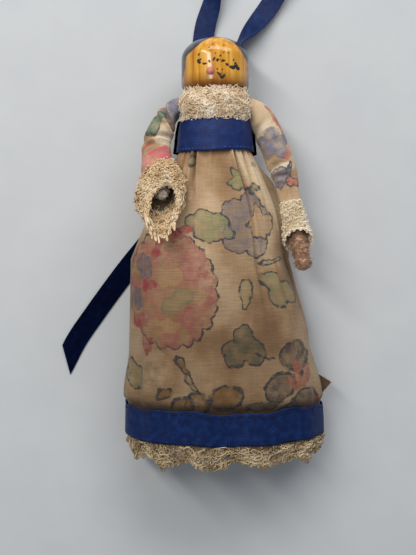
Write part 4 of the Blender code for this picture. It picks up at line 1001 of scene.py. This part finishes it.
for share in np.linspace(0.9, 0.02, 18):
    # Sewn end: the bottom closes on a seam with small puckers
    pucker = 0.0005 * np.cos(bag_turns * 17) * (1 - share) * share * 4
    row = middle + (bag_foot - middle) * share
    row[:, 1] = bag_foot[:, 1] - 0.0004 * (1 - share) + pucker
    bag_rows.append(row)
    bag_downs.append(foot_down + BAG_SLOPE * (1 - share))
bag_count = len(bag_rows) * BAG_COLUMNS
bag_faces = grid_faces(len(bag_rows), BAG_COLUMNS, wrap=True) + [range(bag_count - BAG_COLUMNS, bag_count)]
bag = add_mesh("muslin_bag", bag_rows, bag_faces, muslin(),
               on_cloth(bag_turns * 0.018, np.array(bag_downs)[:, None]))
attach(bag, "doll")
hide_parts("sachet_bag")


def dried_flowers():
    """Dried lavender and petals: crumpled grey-violet and straw flecks, dull and dusty."""
    material, add, shader = new_material("dried_flowers")
    # Each fleck is some 2.4 mm across
    petal = add("TexVoronoi", add("TexCoord", output="Object"), Scale=1 / 0.00238, output="Color")
    tone = add("SeparateColor", petal)
    color = add("ValToRGB", tone, stops=((0.2, "#5d5068"), (0.5, "#7d6f78"), (0.8, "#a08c68")))
    plug(shader, Base_Color=color, Roughness=0.95)
    return material


# Petals and buds packed through the bag, each a small cupped flake
PETALS = 900
PETAL_CORNERS = ((0, 0, -0.35), (1, 0, 0.1), (0.5, 0.6, 0), (-0.5, 0.6, 0), (-1, 0, 0.1), (-0.5, -0.6, 0),
                 (0.5, -0.6, 0))
petal_turn, petal_drop, petal_depth = (bag_dice.uniform(low, high, PETALS) for low, high in (
    (0, 2 * math.pi), (0.026, BAG_END_DROP - 0.006), (0.0035, 0.0075)))
petal_seat = skirt_points(petal_turn, petal_drop, -petal_depth)
petal_side = unit(bag_dice.normal(size=(PETALS, 3)))
petal_up = unit(np.cross(petal_side, bag_dice.normal(size=(PETALS, 3))))
petal_size = bag_dice.uniform(0.0006, 0.0012, (PETALS, 1))
petal_ways = np.stack([petal_side, petal_up, np.cross(petal_side, petal_up)], axis=1)
petal_points = petal_seat[:, None] + petal_size[:, None] * (np.array(PETAL_CORNERS) @ petal_ways)
petal_faces = [(root, root + 1 + k, root + 1 + (k + 1) % 6)
               for root in range(0, 7 * PETALS, 7) for k in range(6)]
filling = add_mesh("petals", petal_points, petal_faces, dried_flowers())
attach(filling, "doll")
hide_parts("sachet_filling")

TIE_STEPS = 260
tie_line = round_axis(BAG_MOUTH_RADIUS + 0.0003, BAG_MOUTH_Y + np.linspace(-0.0004, 0.0004, TIE_STEPS),
                      np.linspace(0, 6 * math.pi, TIE_STEPS))
bag_tie = add_mesh("bag_binding", *plied(tie_line, 0.00022, 90), UNBLEACHED_THREAD)
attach(bag_tie, "doll")
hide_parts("bag_tie")

# Lace yoke: a strip of cotton lace laid over the chest, its raw upper edge frayed under the chin
# and its looped lower edge lying over the sash. It is all thread, curl on curl over a close net.
YOKE_TOP_Y = 0.0604
YOKE_FOOT_Y = 0.0524
YOKE_RADIUS = 0.0095
YOKE_REACH = math.radians(68) * YOKE_RADIUS
THREAD = 0.00015
yarn_dice = np.random.default_rng(11)


def curls(surface, places, size, stand, radius, slim=(0.35, 0.95)):
    """Slack loops of thread lying this way and that on a surface, one at each place; slim is how round."""
    along, across = places

    def between(low, high):
        return yarn_dice.uniform(low, high, (len(along), 1))

    turn = np.linspace(0, 1.85 * math.pi, 9)
    tilt, loop = between(0, 2 * math.pi), size * between(0.6, 1.35)
    a, b = loop * np.cos(turn), loop * between(*slim) * np.sin(turn)
    lift = stand * between(0.1, 1.0) * (1 + 0.9 * np.sin(turn + between(0, 2 * math.pi)))
    return strands(surface(along + a * np.cos(tilt) - b * np.sin(tilt),
                           across + a * np.sin(tilt) + b * np.cos(tilt), lift), radius, sides=4)


def loose_ends(surface, places, lean, reach, lift, radius):
    """Cut threads that stand off an edge, one at each place; reach is a range."""
    along, across = places
    share = np.linspace(0, 1, 6)
    sway, out, bend, high = (yarn_dice.uniform(low, top, (len(along), 1)) for low, top in (
        (-lean, lean), reach, (-0.4, 0.4), (0.1, 1.0)))
    return strands(surface(along + sway * share ** 1.5 + bend * out * np.sin(math.pi * share),
                           across + out * share, high * lift * (0.4 + share)), radius, sides=4)


def edge_loops(surface, span, level, pitch, loop, stand, radius):
    """One thread run along an edge in uneven hanging loops."""
    start, end = span
    loops = max(2, int(abs(end - start) / pitch))
    t = np.linspace(0, loops, loops * 10 + 1)
    wide, tall, lift = (np.interp(t, np.arange(loops + 1), yarn_dice.uniform(low, high, loops + 1))
                        for low, high in ((0.4, 0.9), (0.4, 1.2), (0.1, 1.0)))
    along = start + (end - start) * t / loops + 0.5 * pitch * wide * np.sin(2 * math.pi * t)
    across = level + loop * tall * (1 - np.cos(2 * math.pi * t)) / 2
    return strands([surface(along, across, stand * lift)], radius, sides=5)


def cotton_lace(name, dark, middle, light):
    """Soft unbleached cotton thread: warm cream, quite matt, with darker aged patches and pale lit plies."""
    material, add, shader = new_material(name)
    place = add("TexCoord", output="Object")
    # Patches of age are some 4 mm across, and a ply shows for 0.3 mm
    age = add("TexNoise", place, 1 / 0.00417, 3.0)
    ply = add("TexNoise", place, 1 / 0.0003125, 1.0)
    tone = add("Math MULTIPLY_ADD", ply, 0.35, add("Math MULTIPLY", age, 0.65))
    color = add("ValToRGB", tone, stops=((0.34, dark), (0.5, middle), (0.66, light)))
    plug(shader, Base_Color=color, Roughness=0.9, Sheen_Weight=0.15)
    return material


def yoke_surface(along, across, lift):
    """Chest surface: along is round the chest from its middle, across is the height up the peg."""
    share = np.clip((across - YOKE_FOOT_Y) / (YOKE_TOP_Y - YOKE_FOOT_Y), 0, 1.3)
    radius = YOKE_RADIUS + lift + 0.0010 * np.sin(math.pi * np.minimum(share, 1)) - 0.0006 * share ** 2
    return round_axis(radius, across, math.pi / 2 - along / YOKE_RADIUS)


def scattered(count, along, across):
    """Places spread by chance over a range along and a range across."""
    return [yarn_dice.uniform(*span, count)[:, None] for span in (along, across)]


def net(surface, along, levels, lift=-0.0001):
    """A grid of points on a surface for the net that carries the curls."""
    return surface(*np.broadcast_arrays(along, levels[:, None], lift))


yoke_span, yoke_height = (-YOKE_REACH, YOKE_REACH), (YOKE_FOOT_Y, YOKE_TOP_Y)
yoke_top, yoke_foot = (YOKE_TOP_Y - 0.0016, YOKE_TOP_Y - 0.0004), (YOKE_FOOT_Y, YOKE_FOOT_Y + 0.0006)
yoke_parts = [
    curls(yoke_surface, scattered(760, yoke_span, yoke_height), 0.00080, 0.0006, THREAD * 0.9),
    curls(yoke_surface, scattered(300, yoke_span, yoke_height), 0.00130, 0.0009, THREAD * 0.8),
    # Frayed ends of the raw top edge stand up under the chin, and a shorter fringe lies over the sash
    loose_ends(yoke_surface, scattered(190, yoke_span, yoke_top), 0.0014, (0.0006, 0.0022), 0.0011,
               THREAD * 0.75),
    loose_ends(yoke_surface, scattered(110, yoke_span, yoke_foot), 0.0005, (-0.0010, -0.0004), 0.0010,
               THREAD),
    edge_loops(yoke_surface, yoke_span, YOKE_FOOT_Y + 0.0004, 0.0011, -0.0010, 0.0011, THREAD * 1.1)]
# The net is coloured darker than the thread, as painted shade in the gaps between the curls
yoke_net = add_sheet("lace_bib_net", net(yoke_surface, np.linspace(*yoke_span, 60),
                                         np.linspace(YOKE_TOP_Y - 0.0004, YOKE_FOOT_Y - 0.0002, 20)),
                     cotton_lace("bib_net", "#a28b66", "#b8a27d", "#cdb894"))
yoke = add_mesh("lace_bib", *joined(yoke_parts), cotton_lace("cotton_lace", "#d3b691", "#edd8b9", "#faefde"))
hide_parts("lace_yoke")
for piece in (yoke, yoke_net):
    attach(piece, "doll")

# Hem lace: cotton lace gathered behind the lower edge of the hem ribbon, its free edge in tousled scallops
# that have gone brown with dust and are coloured darker again as painted shade under the hem.
HEM_LACE_TOP = 0.0866
HEM_LACE_DEPTH = 0.0076
HEM_LACE_ROUND = 0.026
SCALLOPS = 11
SCALLOP_DEPTH = 0.0020


def hem_lace_surface(along, across, lift):
    """Lace surface: along runs round the skirt, across from the ribbon's edge down."""
    turn = along / HEM_LACE_ROUND
    share = across / HEM_LACE_DEPTH
    scallop = SCALLOP_DEPTH * np.sin(SCALLOPS * turn / 2 + 0.4) ** 2
    ruffle = 0.0009 * np.sin(23 * turn + 2 * np.sin(3 * turn)) * share
    spots = skirt_points(turn, HEM_LACE_TOP + share * (HEM_LACE_DEPTH - scallop),
                         lift - 0.0003 + ruffle * np.maximum(0, np.sin(turn)))
    # Its ends are drawn in at both sides, and behind it lies on the table
    spots[..., 0] *= 1 - np.where(spots[..., 0] < 0, 0.075, 0.05) * np.clip(share, 0, 1)
    spots[..., 2] = np.maximum(spots[..., 2], 2 * THREAD)
    return spots


hem_span = (BACK_TURN * HEM_LACE_ROUND, NEXT_BACK_TURN * HEM_LACE_ROUND)
hem_lace_parts = [
    curls(hem_lace_surface, scattered(1250, hem_span, (0.0013, HEM_LACE_DEPTH * 0.97)), 0.00058, 0.0005,
          THREAD * 1.3, (0.65, 1.0)),
    curls(hem_lace_surface, scattered(330, hem_span, (0.0022, HEM_LACE_DEPTH)), 0.00125, 0.0011,
          THREAD * 1.2, (0.4, 0.9)),
    edge_loops(hem_lace_surface, hem_span, HEM_LACE_DEPTH * 0.86, 0.0016, 0.0017, 0.0008, THREAD * 1.4),
    edge_loops(hem_lace_surface, hem_span, HEM_LACE_DEPTH * 0.80, 0.0023, 0.0020, 0.0012, THREAD * 1.4),
    edge_loops(hem_lace_surface, hem_span, HEM_LACE_DEPTH * 0.50, 0.0019, 0.0017, 0.0010, THREAD * 1.3),
    loose_ends(hem_lace_surface, scattered(170, hem_span, (HEM_LACE_DEPTH * 0.8, HEM_LACE_DEPTH * 0.95)),
               0.0012, (0.0002, 0.0012), 0.0006, THREAD * 0.8)]
# The net is coloured darker still, as painted shade in the gaps between the curls
hem_net = add_sheet("hem_lace_net", net(hem_lace_surface, np.linspace(*hem_span, 240),
                                        np.linspace(-0.0004, HEM_LACE_DEPTH * 0.45, 8), -0.0002),
                    cotton_lace("lace_net", "#7d6a4e", "#98835f", "#b29c78"))
hem_lace = add_mesh("hem_lace_edge", *joined(hem_lace_parts),
                    cotton_lace("dusty_lace", "#82694b", "#ae9875", "#d8c8a8"))
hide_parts("hem_lace")
for piece in (hem_lace, hem_net):
    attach(piece, "doll")

# Cuffs: lace gathered round the end of each sleeve. The right one hangs straight over the hand, the left
# one puffs and gapes towards the skirt, its under side longer, with the sleeve's print showing inside.
RIGHT_CUFF_START = 0.0094
RIGHT_CUFF_LENGTH = 0.0114
LEFT_CUFF_START = 0.0060
LEFT_CUFF_LENGTH = 0.0183
# Shares of the length, and how wide and deep the cuff is there
RIGHT_CUFF_LEVELS = ((0, 0.0031, 0.0031), (0.45, 0.0033, 0.0032), (1, 0.0041, 0.0037))
LEFT_CUFF_LEVELS = ((0, 0.0043, 0.0038), (0.3, 0.0062, 0.0050), (0.62, 0.0071, 0.0053),
                    (0.85, 0.0060, 0.0044), (1, 0.0046, 0.0036))
# The length by which one side of the mouth is drawn back, its turn round the arm, and the length by which
# the outer side of the seam is drawn down
RIGHT_CUFF_SLANTS = (0.0024, 0, 0)
LEFT_CUFF_SLANTS = (0.0060, 0.55, 0.0050)
CUFF_NET_ROWS = 18
CUFF_NET_COLUMNS = 60


def cuff_lace(side, elbow, fore, start, length, levels, slants, curl, lace, shaded_net):
    """A tube of curled thread over a net coloured darker as painted shade between the curls, with a looped
    edge; curl is the size of a curl. Returns its surface and the way round it."""
    slant, slant_turn, seam_slant = slants
    shares, wides, deeps = np.array(levels).T
    across_way = unit(np.cross(fore, (0, 0, 1)))
    over_way = np.cross(across_way, fore)
    middle_radius = float(np.mean(wides + deeps)) / 2
    around = 2 * math.pi * middle_radius

    def cuff_surface(along, across, lift):
        turn = along / middle_radius
        share = np.clip(across / length, -0.1, 1.2)
        wide, deep = (np.interp(share, shares, sizes) + lift - 0.0004 for sizes in (wides, deeps))
        out = start + across - slant * np.maximum(share, 0) ** 2 * np.sin(turn - slant_turn)
        out = out + seam_slant * np.clip(1 - share, 0, 1) * (1 + np.cos(turn)) / 2
        return (elbow + out[..., None] * fore + (wide * np.cos(turn))[..., None] * across_way
                + (deep * np.sin(turn))[..., None] * over_way)

    count = int(around * length / (3.2 * curl ** 2))
    thread = THREAD * curl / 0.0004
    span = (0, around)
    parts = [
        curls(cuff_surface, scattered(count, span, (0, length)), curl, 1.3 * curl, thread, (0.7, 1.0)),
        curls(cuff_surface, scattered(count // 5, span, (0.0005, length)), 1.7 * curl, 2 * curl, 0.9 * thread,
              (0.5, 0.9)),
        edge_loops(cuff_surface, span, length * 0.94, 0.0013, 0.0013, 0.0008, THREAD * 1.3),
        edge_loops(cuff_surface, (0.0004, around + 0.0004), length * 0.98, 0.0016, 0.0012, 0.0005,
                   THREAD * 1.3),
        loose_ends(cuff_surface, scattered(36, span, (length * 0.92, length)), 0.0010, (0.0004, 0.0016),
                   0.0009, THREAD * 0.8)]
    # Slack loops line the puffed cuff's mouth and hang from its longer side
    if seam_slant:
        inner_places = scattered(count // 2, span, (length * 0.55, length))
        parts.append(curls(cuff_surface, inner_places, 0.0005, -0.0006, THREAD, (0.6, 1.0)))
        low_side = (slant_turn - math.pi / 2) * middle_radius
        low_span = (low_side - around * 0.2, low_side + around * 0.2)
        for reach, pitch in ((0.0036, 0.0024), (0.0028, 0.0019), (0.0020, 0.0016)):
            parts.append(edge_loops(cuff_surface, low_span, length * 0.97, pitch, reach, 0.0010,
                                    THREAD * 1.15))
    made = add_mesh(side + "_lace_cuff", *joined(parts), lace)
    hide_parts(side + "_cuff_lace")
    net_points = net(cuff_surface, np.linspace(*span, CUFF_NET_COLUMNS, endpoint=False),
                     np.linspace(0, length * 0.93, CUFF_NET_ROWS))
    net_faces = grid_faces(*net_points.shape[:2], wrap=True)
    for piece in (made, add_mesh(side + "_lace_cuff_net", net_points, net_faces, shaded_net)):
        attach(piece, side + "_forearm")
    return cuff_surface, around


# The right cuff's lace is coloured lighter than the other lace, as painted light where it lies lit
cuff_lace("right", RIGHT_ELBOW, RIGHT_FORE, RIGHT_CUFF_START, RIGHT_CUFF_LENGTH, RIGHT_CUFF_LEVELS,
          RIGHT_CUFF_SLANTS, 0.00030, cotton_lace("clean_lace", "#e3d0ae", "#f3e4c8", "#fdf5e4"),
          cotton_lace("clean_net", "#cbb692", "#decaa8", "#ecdcc0"))
left_cuff_surface, left_cuff_around = cuff_lace(
    "left", LEFT_ELBOW, LEFT_FORE, LEFT_CUFF_START, LEFT_CUFF_LENGTH, LEFT_CUFF_LEVELS, LEFT_CUFF_SLANTS,
    0.00042, cotton_lace("aged_lace", "#bd9c72", "#dec39b", "#f4e4c8"),
    cotton_lace("aged_net", "#937a58", "#a88e6a", "#bda57f"))

# The left sleeve's cloth goes on inside the cuff as its lining, where a green leaf of the print falls; the
# leaf is coloured dark sage all over as painted shade inside the cuff's mouth
SHADED_LINING_PRINT = ((4, 6, 20, 16, 0, "round", DARK_SAGE, PLAIN),)
lining_around = np.linspace(0, left_cuff_around, 60)
lining_depths = np.linspace(0.0004, LEFT_CUFF_LENGTH * 0.62, 20)
lining = add_sheet("left_cuff_lining", net(left_cuff_surface, lining_around, lining_depths, -0.0005),
                   printed_cotton("lining_cotton", SHADED_LINING_PRINT, False),
                   on_cloth(lining_around - 0.012, lining_depths[:, None]))
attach(lining, "left_forearm")

# Sash: three-eighths navy taffeta ribbon, wound once round the waist over the seam of bodice and skirt
# and sewn at the back.
SASH_TOP_Y = 0.0525
SASH_BOTTOM_Y = 0.0430
SASH_INNER = 0.0011
SASH_SPREAD = 0.0014
RIBBON_THICKNESS = 0.0004
SASH_COLUMNS = 240
SASH_ROWS = 26


def navy_taffeta(name, dark, middle, light, gloss=0.25, shaded_sides=None):
    """Woven ribbon in deep navy: fine cross ribs and slubs in three close blues, with a low silky sheen.
    Past shaded_sides' (middle, start, end) along it the ribbon is coloured almost black and loses its gloss,
    as painted shade."""
    material, add, shader = new_material(name)
    flat = add("UVMap", uv_map="cloth")
    along, across, _ = add("SeparateXYZ", flat).node.outputs
    # Ribs are 0.25 mm apart in such ribbon, under a pixel here, so they are drawn at 0.45 mm
    pitch = 2 * math.pi / 0.00045
    rib, warp = (add("Math SINE", add("Math MULTIPLY", way, pitch)) for way in (along, across))
    weave = add("Math MULTIPLY_ADD", warp, 0.6, rib)
    shade = add("MapRange", weave, -1.6, 1.6)
    # Slubs are some 2 mm long
    slub = add("TexNoise", flat, 1 / 0.002, 4.0)
    mixed = add("Math MULTIPLY_ADD", slub, 0.85, add("Math MULTIPLY", shade, 0.15))
    color = add("ValToRGB", mixed, stops=((0.22, dark), (0.50, middle), (0.80, light)))
    # Painted shade: towards the sides, where the ribbon turns away under the arms, it is coloured near black
    # and loses its gloss
    if shaded_sides:
        away = add("Math ABSOLUTE", add("Math SUBTRACT", along, shaded_sides[0]))
        side_shade = add("MapRange", away, *shaded_sides[1:])
        color = add("Mix RGBA", side_shade, color, "#02040a")
        gloss = add("MapRange", side_shade, To_Min=gloss, To_Max=0.0)
    plug(shader, Base_Color=color, Normal=add("Bump", 0.22, 0.00012, Height=weave), Roughness=0.5,
         Specular_IOR_Level=gloss)
    return material


NAVY_TAFFETA = navy_taffeta("navy_taffeta", "#06163c", "#0a2152", "#16386e", gloss=0.18)
sash_turns = np.linspace(BACK_TURN, NEXT_BACK_TURN, SASH_COLUMNS)
sash_levels = np.linspace(1, 0, SASH_ROWS)
sash_outer = SASH_INNER + RIBBON_THICKNESS
# It is drawn tighter below the waist at its sides
sash_tight = 0.0008 * np.abs(np.cos(sash_turns))
sash_foot = skirt_points(sash_turns, WAIST_Y - SASH_BOTTOM_Y, sash_outer - sash_tight, folded=0)
sash_seam = skirt_points(sash_turns, 0, sash_outer, folded=0)
sash_radius = CHEST_RADIUS + 0.0008 + RIBBON_THICKNESS
sash_head = round_axis(sash_radius, SASH_TOP_Y, sash_turns)
seam_share = (WAIST_Y - SASH_BOTTOM_Y) / (SASH_TOP_Y - SASH_BOTTOM_Y)
sash_rows = []
for level in sash_levels:
    if level < seam_share:
        row = sash_foot + (sash_seam - sash_foot) * level / seam_share
    else:
        row = sash_seam + (sash_head - sash_seam) * (level - seam_share) / (1 - seam_share)
    # The wound ribbon bows out a little between its edges and its run wavers
    out = out_of_axis(row)
    row = row + out * 0.00035 * math.sin(math.pi * level)
    row[:, 1] += 0.0004 * np.sin(2 * sash_turns + 0.8) * (1 - 0.5 * level)
    # Its sides, pressed down under the doll, spread a little
    row[:, 0] += SASH_SPREAD * out[:, 0] * np.clip(-3.5 * out[:, 2], 0, 1)
    sash_rows.append(row)
sash_grid = np.array(sash_rows)
# The sash is painted near black at its sides as shade
SASH_TAFFETA = navy_taffeta("sash_taffeta", "#071a48", "#0a255e", "#133a78",
                            shaded_sides=(math.pi / 2 * sash_radius, 1.30 * sash_radius, 1.55 * sash_radius))
sash_cloth = on_cloth(sash_turns * sash_radius, (sash_levels * (SASH_TOP_Y - SASH_BOTTOM_Y))[:, None])
sash = add_sheet("waist_sash", sash_grid, SASH_TAFFETA, sash_cloth, RIBBON_THICKNESS)
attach(sash, "doll")
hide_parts("sash_ribbon")

# Hem ribbon: the same taffeta ribbon sewn over the skirt's raw edge, all the way round, with a dark running
# stitch near its top.
HEM_RIBBON_BOTTOM = 0.0873
HEM_RIBBON_OUTER = 0.0004 + RIBBON_THICKNESS
HEM_RIBBON_ROWS = 22
HEM_RIBBON_COLUMNS = 400
hem_turns = np.linspace(BACK_TURN, NEXT_BACK_TURN, HEM_RIBBON_COLUMNS)
hem_drops = np.linspace(RIBBON_TOP_DROP, HEM_RIBBON_BOTTOM, HEM_RIBBON_ROWS)
# Its upper edge was sewn on by eye and wavers
hem_waver = 0.00045 * np.sin(5 * hem_turns + 1.0) + 0.00025 * np.sin(13 * hem_turns + 0.3)
hem_down = hem_drops[:, None] + hem_waver * np.linspace(1, 0.4, HEM_RIBBON_ROWS)[:, None]
hem_grid = skirt_points(hem_turns, hem_down, HEM_RIBBON_OUTER)
hem_ribbon = add_sheet("hem_band", hem_grid, NAVY_TAFFETA,
                       flat_cloth(hem_grid, hem_drops, HEM_RIBBON_COLUMNS // 2), RIBBON_THICKNESS)
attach(hem_ribbon, "doll")
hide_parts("hem_ribbon")

# Stitches: two-ply sewing cotton put in by hand. Blue thread runs along the sash's lower edge and dark
# thread along the hem ribbon's top.
STITCH_MARGIN = 0.0009
SASH_STITCH_ROW = SASH_ROWS - 3
stitch_dice = np.random.default_rng(8)


def running_stitches(surface, margin, stitch, gap, radius):
    """Short threads that dip into the cloth at both ends, across the doll's front on a surface."""
    paths, at = [], margin
    shares = np.linspace(0, 1, 6)
    while at < math.pi - margin - stitch:
        long = stitch * stitch_dice.uniform(0.75, 1.2)
        paths.append(surface(at + long * shares, radius * (2.2 * np.sin(math.pi * shares) - 0.9)))
        at += long + gap * stitch_dice.uniform(0.8, 1.3)
    return strands(paths, radius, sides=5)


def on_sash(turn, lift):
    """Near the sash's lower edge."""
    spot = along_at(turn, sash_turns, sash_grid[SASH_STITCH_ROW])
    return spot + lift[:, None] * out_of_axis(spot)


def on_hem(turn, lift):
    """Near the hem ribbon's upper edge."""
    return skirt_points(turn, RIBBON_TOP_DROP + STITCH_MARGIN + np.interp(turn, hem_turns, hem_waver),
                        HEM_RIBBON_OUTER + lift)


sash_stitches = add_mesh("sash_stitches", *running_stitches(on_sash, 0.2, 0.050, 0.06, 0.00009),
                         sewing_thread("blue_thread", "#3a4c86", "#5e6fa6"))
hem_stitches = add_mesh("hem_stitches", *running_stitches(on_hem, 0.15, 0.055, 0.045, 0.00014),
                        sewing_thread("dark_thread", "#0a0d18", "#161b2c"))
for stitches in (sash_stitches, hem_stitches):
    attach(stitches, "doll")

# Hanger: one length of quarter-inch navy ribbon tied in a knot behind the waist. Its loop leaves
# behind the head on edge, and its two cut ends lie under the skirt and out over the table.
NARROW_WIDTH = 0.00635
NARROW_KNOT_WIDTH = 0.0030
NARROW_THICKNESS = 0.0003
NARROW_COLUMNS = 13
# Steps along the ribbon over which it widens from the knot, or its end slants
NARROW_EASE = 8
TAIL_CUT = 0.0034
TABLE_GAP = 0.0001
# Places on the table in mm, and the ribbon's tilt about its run in degrees
HANGER_ROUTE = (
    (-1.9, 52.9, 0), (-2.6, 60.0, 0), (-3.4, 69.0, 2), (-3.7, 77.0, 5), (-2.9, 83.5, 10),
    (-1.3, 89.0, 24), (0.6, 97.0, 62), (3.0, 105.0, 86), (7.8, 112.5, 90), (14.2, 115.0, 90),
    (20.0, 112.0, 92), (22.4, 104.5, 112), (20.4, 96.0, 146), (16.0, 88.5, 164), (11.0, 82.2, 140),
    (7.5, 77.6, 108), (6.4, 73.5, 116), (5.3, 68.0, 154), (3.4, 60.0, 180), (1.9, 52.9, 180),
)
LEFT_TAIL_ROUTE = (
    (-1.9, 47.7, 0), (-6.0, 40.0, 0), (-12.0, 29.5, 0), (-19.0, 19.0, 0), (-26.2, 10.0, 0), (-31.8, 2.5, 6),
    (-37.2, -5.0, 3), (-42.0, -12.0, 2), (-45.5, -18.6, 0),
)
RIGHT_TAIL_ROUTE = ((1.9, 47.7, 0), (6.2, 39.0, 0), (11.2, 29.0, 0), (15.2, 19.0, 0), (17.6, 10.0, 0))


def narrow_ribbon(name, route, both_ends_knotted, material, end_cut=0.0):
    """Ribbon along a route, drawn narrow at the knot; end_cut slants its free end. Returns it, its middle
    line and its length."""
    line = smooth_path(route, per_span=8)
    spots, tilt = line[:, :2] / 1000, np.radians(line[:, 2])
    run = np.column_stack([unit(np.gradient(spots, axis=0)), np.zeros(len(line))])
    steps = np.arange(len(line))
    to_knot = np.minimum(steps, steps[::-1]) if both_ends_knotted else steps
    widened = np.minimum(1, to_knot / NARROW_EASE)
    half = (NARROW_KNOT_WIDTH + (NARROW_WIDTH - NARROW_KNOT_WIDTH) * widened) / 2
    wide = np.cross(run, (0, 0, 1)) * np.cos(tilt)[:, None] + np.outer(np.sin(tilt), (0, 0, 1))
    thin = np.cross(run, wide)
    middle = np.column_stack([spots, TABLE_GAP + half * np.abs(np.sin(tilt)) + NARROW_THICKNESS / 2])
    length = length_along(middle)
    across = np.linspace(-1, 1, NARROW_COLUMNS)
    rows, cloth = [], []
    for step in steps:
        slant = -run[step] * end_cut * across[:, None] * max(0, 1 - (steps[-1] - step) / NARROW_EASE)
        # A faint roll across the width and a ripple along it, as soft ribbon lies
        curl = 0.00018 * (1 - across ** 2) * math.sin(length[step] / 0.0047) * widened[step]
        for face in (1, -1):
            side = across[::face] * half[step]
            lift = curl[::face] + face * NARROW_THICKNESS / 2
            row = middle[step] + np.outer(side, wide[step]) + np.outer(lift, thin[step]) + slant[::face]
            row[:, 2] = np.maximum(row[:, 2], TABLE_GAP / 2)
            rows.append(row)
            cloth.append(on_cloth(length[step], side))
    made = add_mesh(name, rows, tube_faces(len(line), 2 * NARROW_COLUMNS), material, cloth)
    made.data.set_sharp_from_angle(angle=math.radians(50))
    return made, middle, float(length[-1])


# The strands and tails are tied once behind the waist, and the knot lies pressed flat
KNOT_WRAPS = 40
KNOT_WIDTHS = 9
knot_low, knot_high = np.array(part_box("hanger_knot"))
knot_half = (knot_high - knot_low) / 2
band, wrap = np.meshgrid(np.linspace(-1, 1, KNOT_WIDTHS), full_turn(KNOT_WRAPS))
last_wrap = (KNOT_WRAPS - 1) * KNOT_WIDTHS
knot_faces = grid_faces(KNOT_WRAPS, KNOT_WIDTHS)
knot_faces += [(last_wrap + k, last_wrap + k + 1, k + 1, k) for k in range(KNOT_WIDTHS - 1)]
knot_parts = []
for tilt, shrink, lift in ((math.radians(24), 0.92, 0.0), (math.radians(-62), 0.80, 0.0002)):
    # Each strand wraps the knot as a band, fuller in its middle
    run = np.cos(wrap) * knot_half[0] * shrink
    rise = np.sin(wrap) * knot_half[2] * (1 - 0.25 * band ** 2) * 0.96
    side = band * knot_half[1] * 0.78 * (0.75 + 0.25 * np.abs(np.sin(wrap)))
    x = run * math.cos(tilt) - side * math.sin(tilt)
    y = (run * math.sin(tilt) + side * math.cos(tilt)) * 0.62
    points = np.stack([x, y, rise + lift * np.sin(wrap)], axis=-1)
    knot_parts.append((points + (knot_low + knot_high) / 2, knot_faces))
knot = add_mesh("hanger_tie", *joined(knot_parts), NAVY_TAFFETA, [on_cloth(wrap * 0.003, band * 0.002)] * 2)
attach(knot, "doll")
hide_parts("hanger_knot")

# The tails lie with the ribbon's dull back up, coloured near black as painted shade, and the left one is cut
# aslant
SHADED_DULL_NAVY = navy_taffeta("dull_navy_back", "#050919", "#080f28", "#0d1736", gloss=0.0)
hanger = narrow_ribbon("hanger_loop", HANGER_ROUTE, True, NAVY_TAFFETA)
left_tail = narrow_ribbon("left_tail", LEFT_TAIL_ROUTE, False, SHADED_DULL_NAVY, TAIL_CUT)
right_tail = narrow_ribbon("right_tail", RIGHT_TAIL_ROUTE, False, SHADED_DULL_NAVY)
for (ribbon, line, length), end, stands_for, tied_with in (
        (hanger, "object", "hanger_ribbon", [knot]),
        (left_tail, "bare", "left_ribbon_tail", []),
        (right_tail, "bare", "right_ribbon_tail", [])):
    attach(ribbon, "doll")
    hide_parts(stands_for)

# Table: a plain board under the doll, painted pale grey with a hint of blue, in soft daylight from the
# windows behind the head and on the left.
TABLE_HALF = 0.6


def grey_board():
    """Smooth painted board: an even cool grey, quite matt, with the faintest mottling."""
    return mottled("grey_board", 0.0167, 3.0, ((0.3, "#c6cacf"), (0.7, "#cbcfd3")), Roughness=0.7)


table_corners = [(x * TABLE_HALF, y * TABLE_HALF, 0) for x, y in ((-1, -1), (1, -1), (1, 1), (-1, 1))]
table = add_mesh("table", table_corners, [range(4)], grey_board())

# Camera straight above the doll; the 416 x 555 frame spans 163.7 mm at 12 mm above the table
VIEW_CENTRE = (-0.0021, 0.0066)
VIEW_DISTANCE = 0.300
VIEW_LEVEL = 0.012
VIEW_SPAN = 0.1637
camera_data = bpy.data.cameras.new("overhead_camera")
camera_data.sensor_fit = "VERTICAL"
camera_data.lens = camera_data.sensor_height * VIEW_DISTANCE / VIEW_SPAN
camera = bpy.data.objects.new("overhead_camera", camera_data)
camera.location = (*VIEW_CENTRE, VIEW_LEVEL + VIEW_DISTANCE)
bpy.context.scene.collection.objects.link(camera)
bpy.context.scene.camera = camera
LIGHT_AIM = (0, 0.02, 0.01)


def window_light(name, place, size, power, color):
    """A soft rectangular light at a place, facing the doll."""
    data = bpy.data.lights.new(name, "AREA")
    data.shape = "RECTANGLE"
    data.size, data.size_y = size
    data.energy = power
    data.color = linear(color)[:3]
    light = bpy.data.objects.new(name, data)
    light.location = place
    look = mathutils.Vector(LIGHT_AIM) - light.location
    light.rotation_euler = look.to_track_quat("-Z", "Y").to_euler()
    bpy.context.scene.collection.objects.link(light)


window_light("long_window", (-0.26, 0.26, 0.50), (0.075, 0.50), 1.75, "#fffaf2")
window_light("far_window", (0.14, 0.60, 0.42), (0.80, 0.32), 3.9, "#fbf8f4")
world = bpy.data.worlds.new("pale_room")
world.use_nodes = True
plug(world.node_tree.nodes["Background"], Color="#e9eef5", Strength=0.30)
bpy.context.scene.world = world
bpy.context.scene.view_settings.view_transform = "Standard"
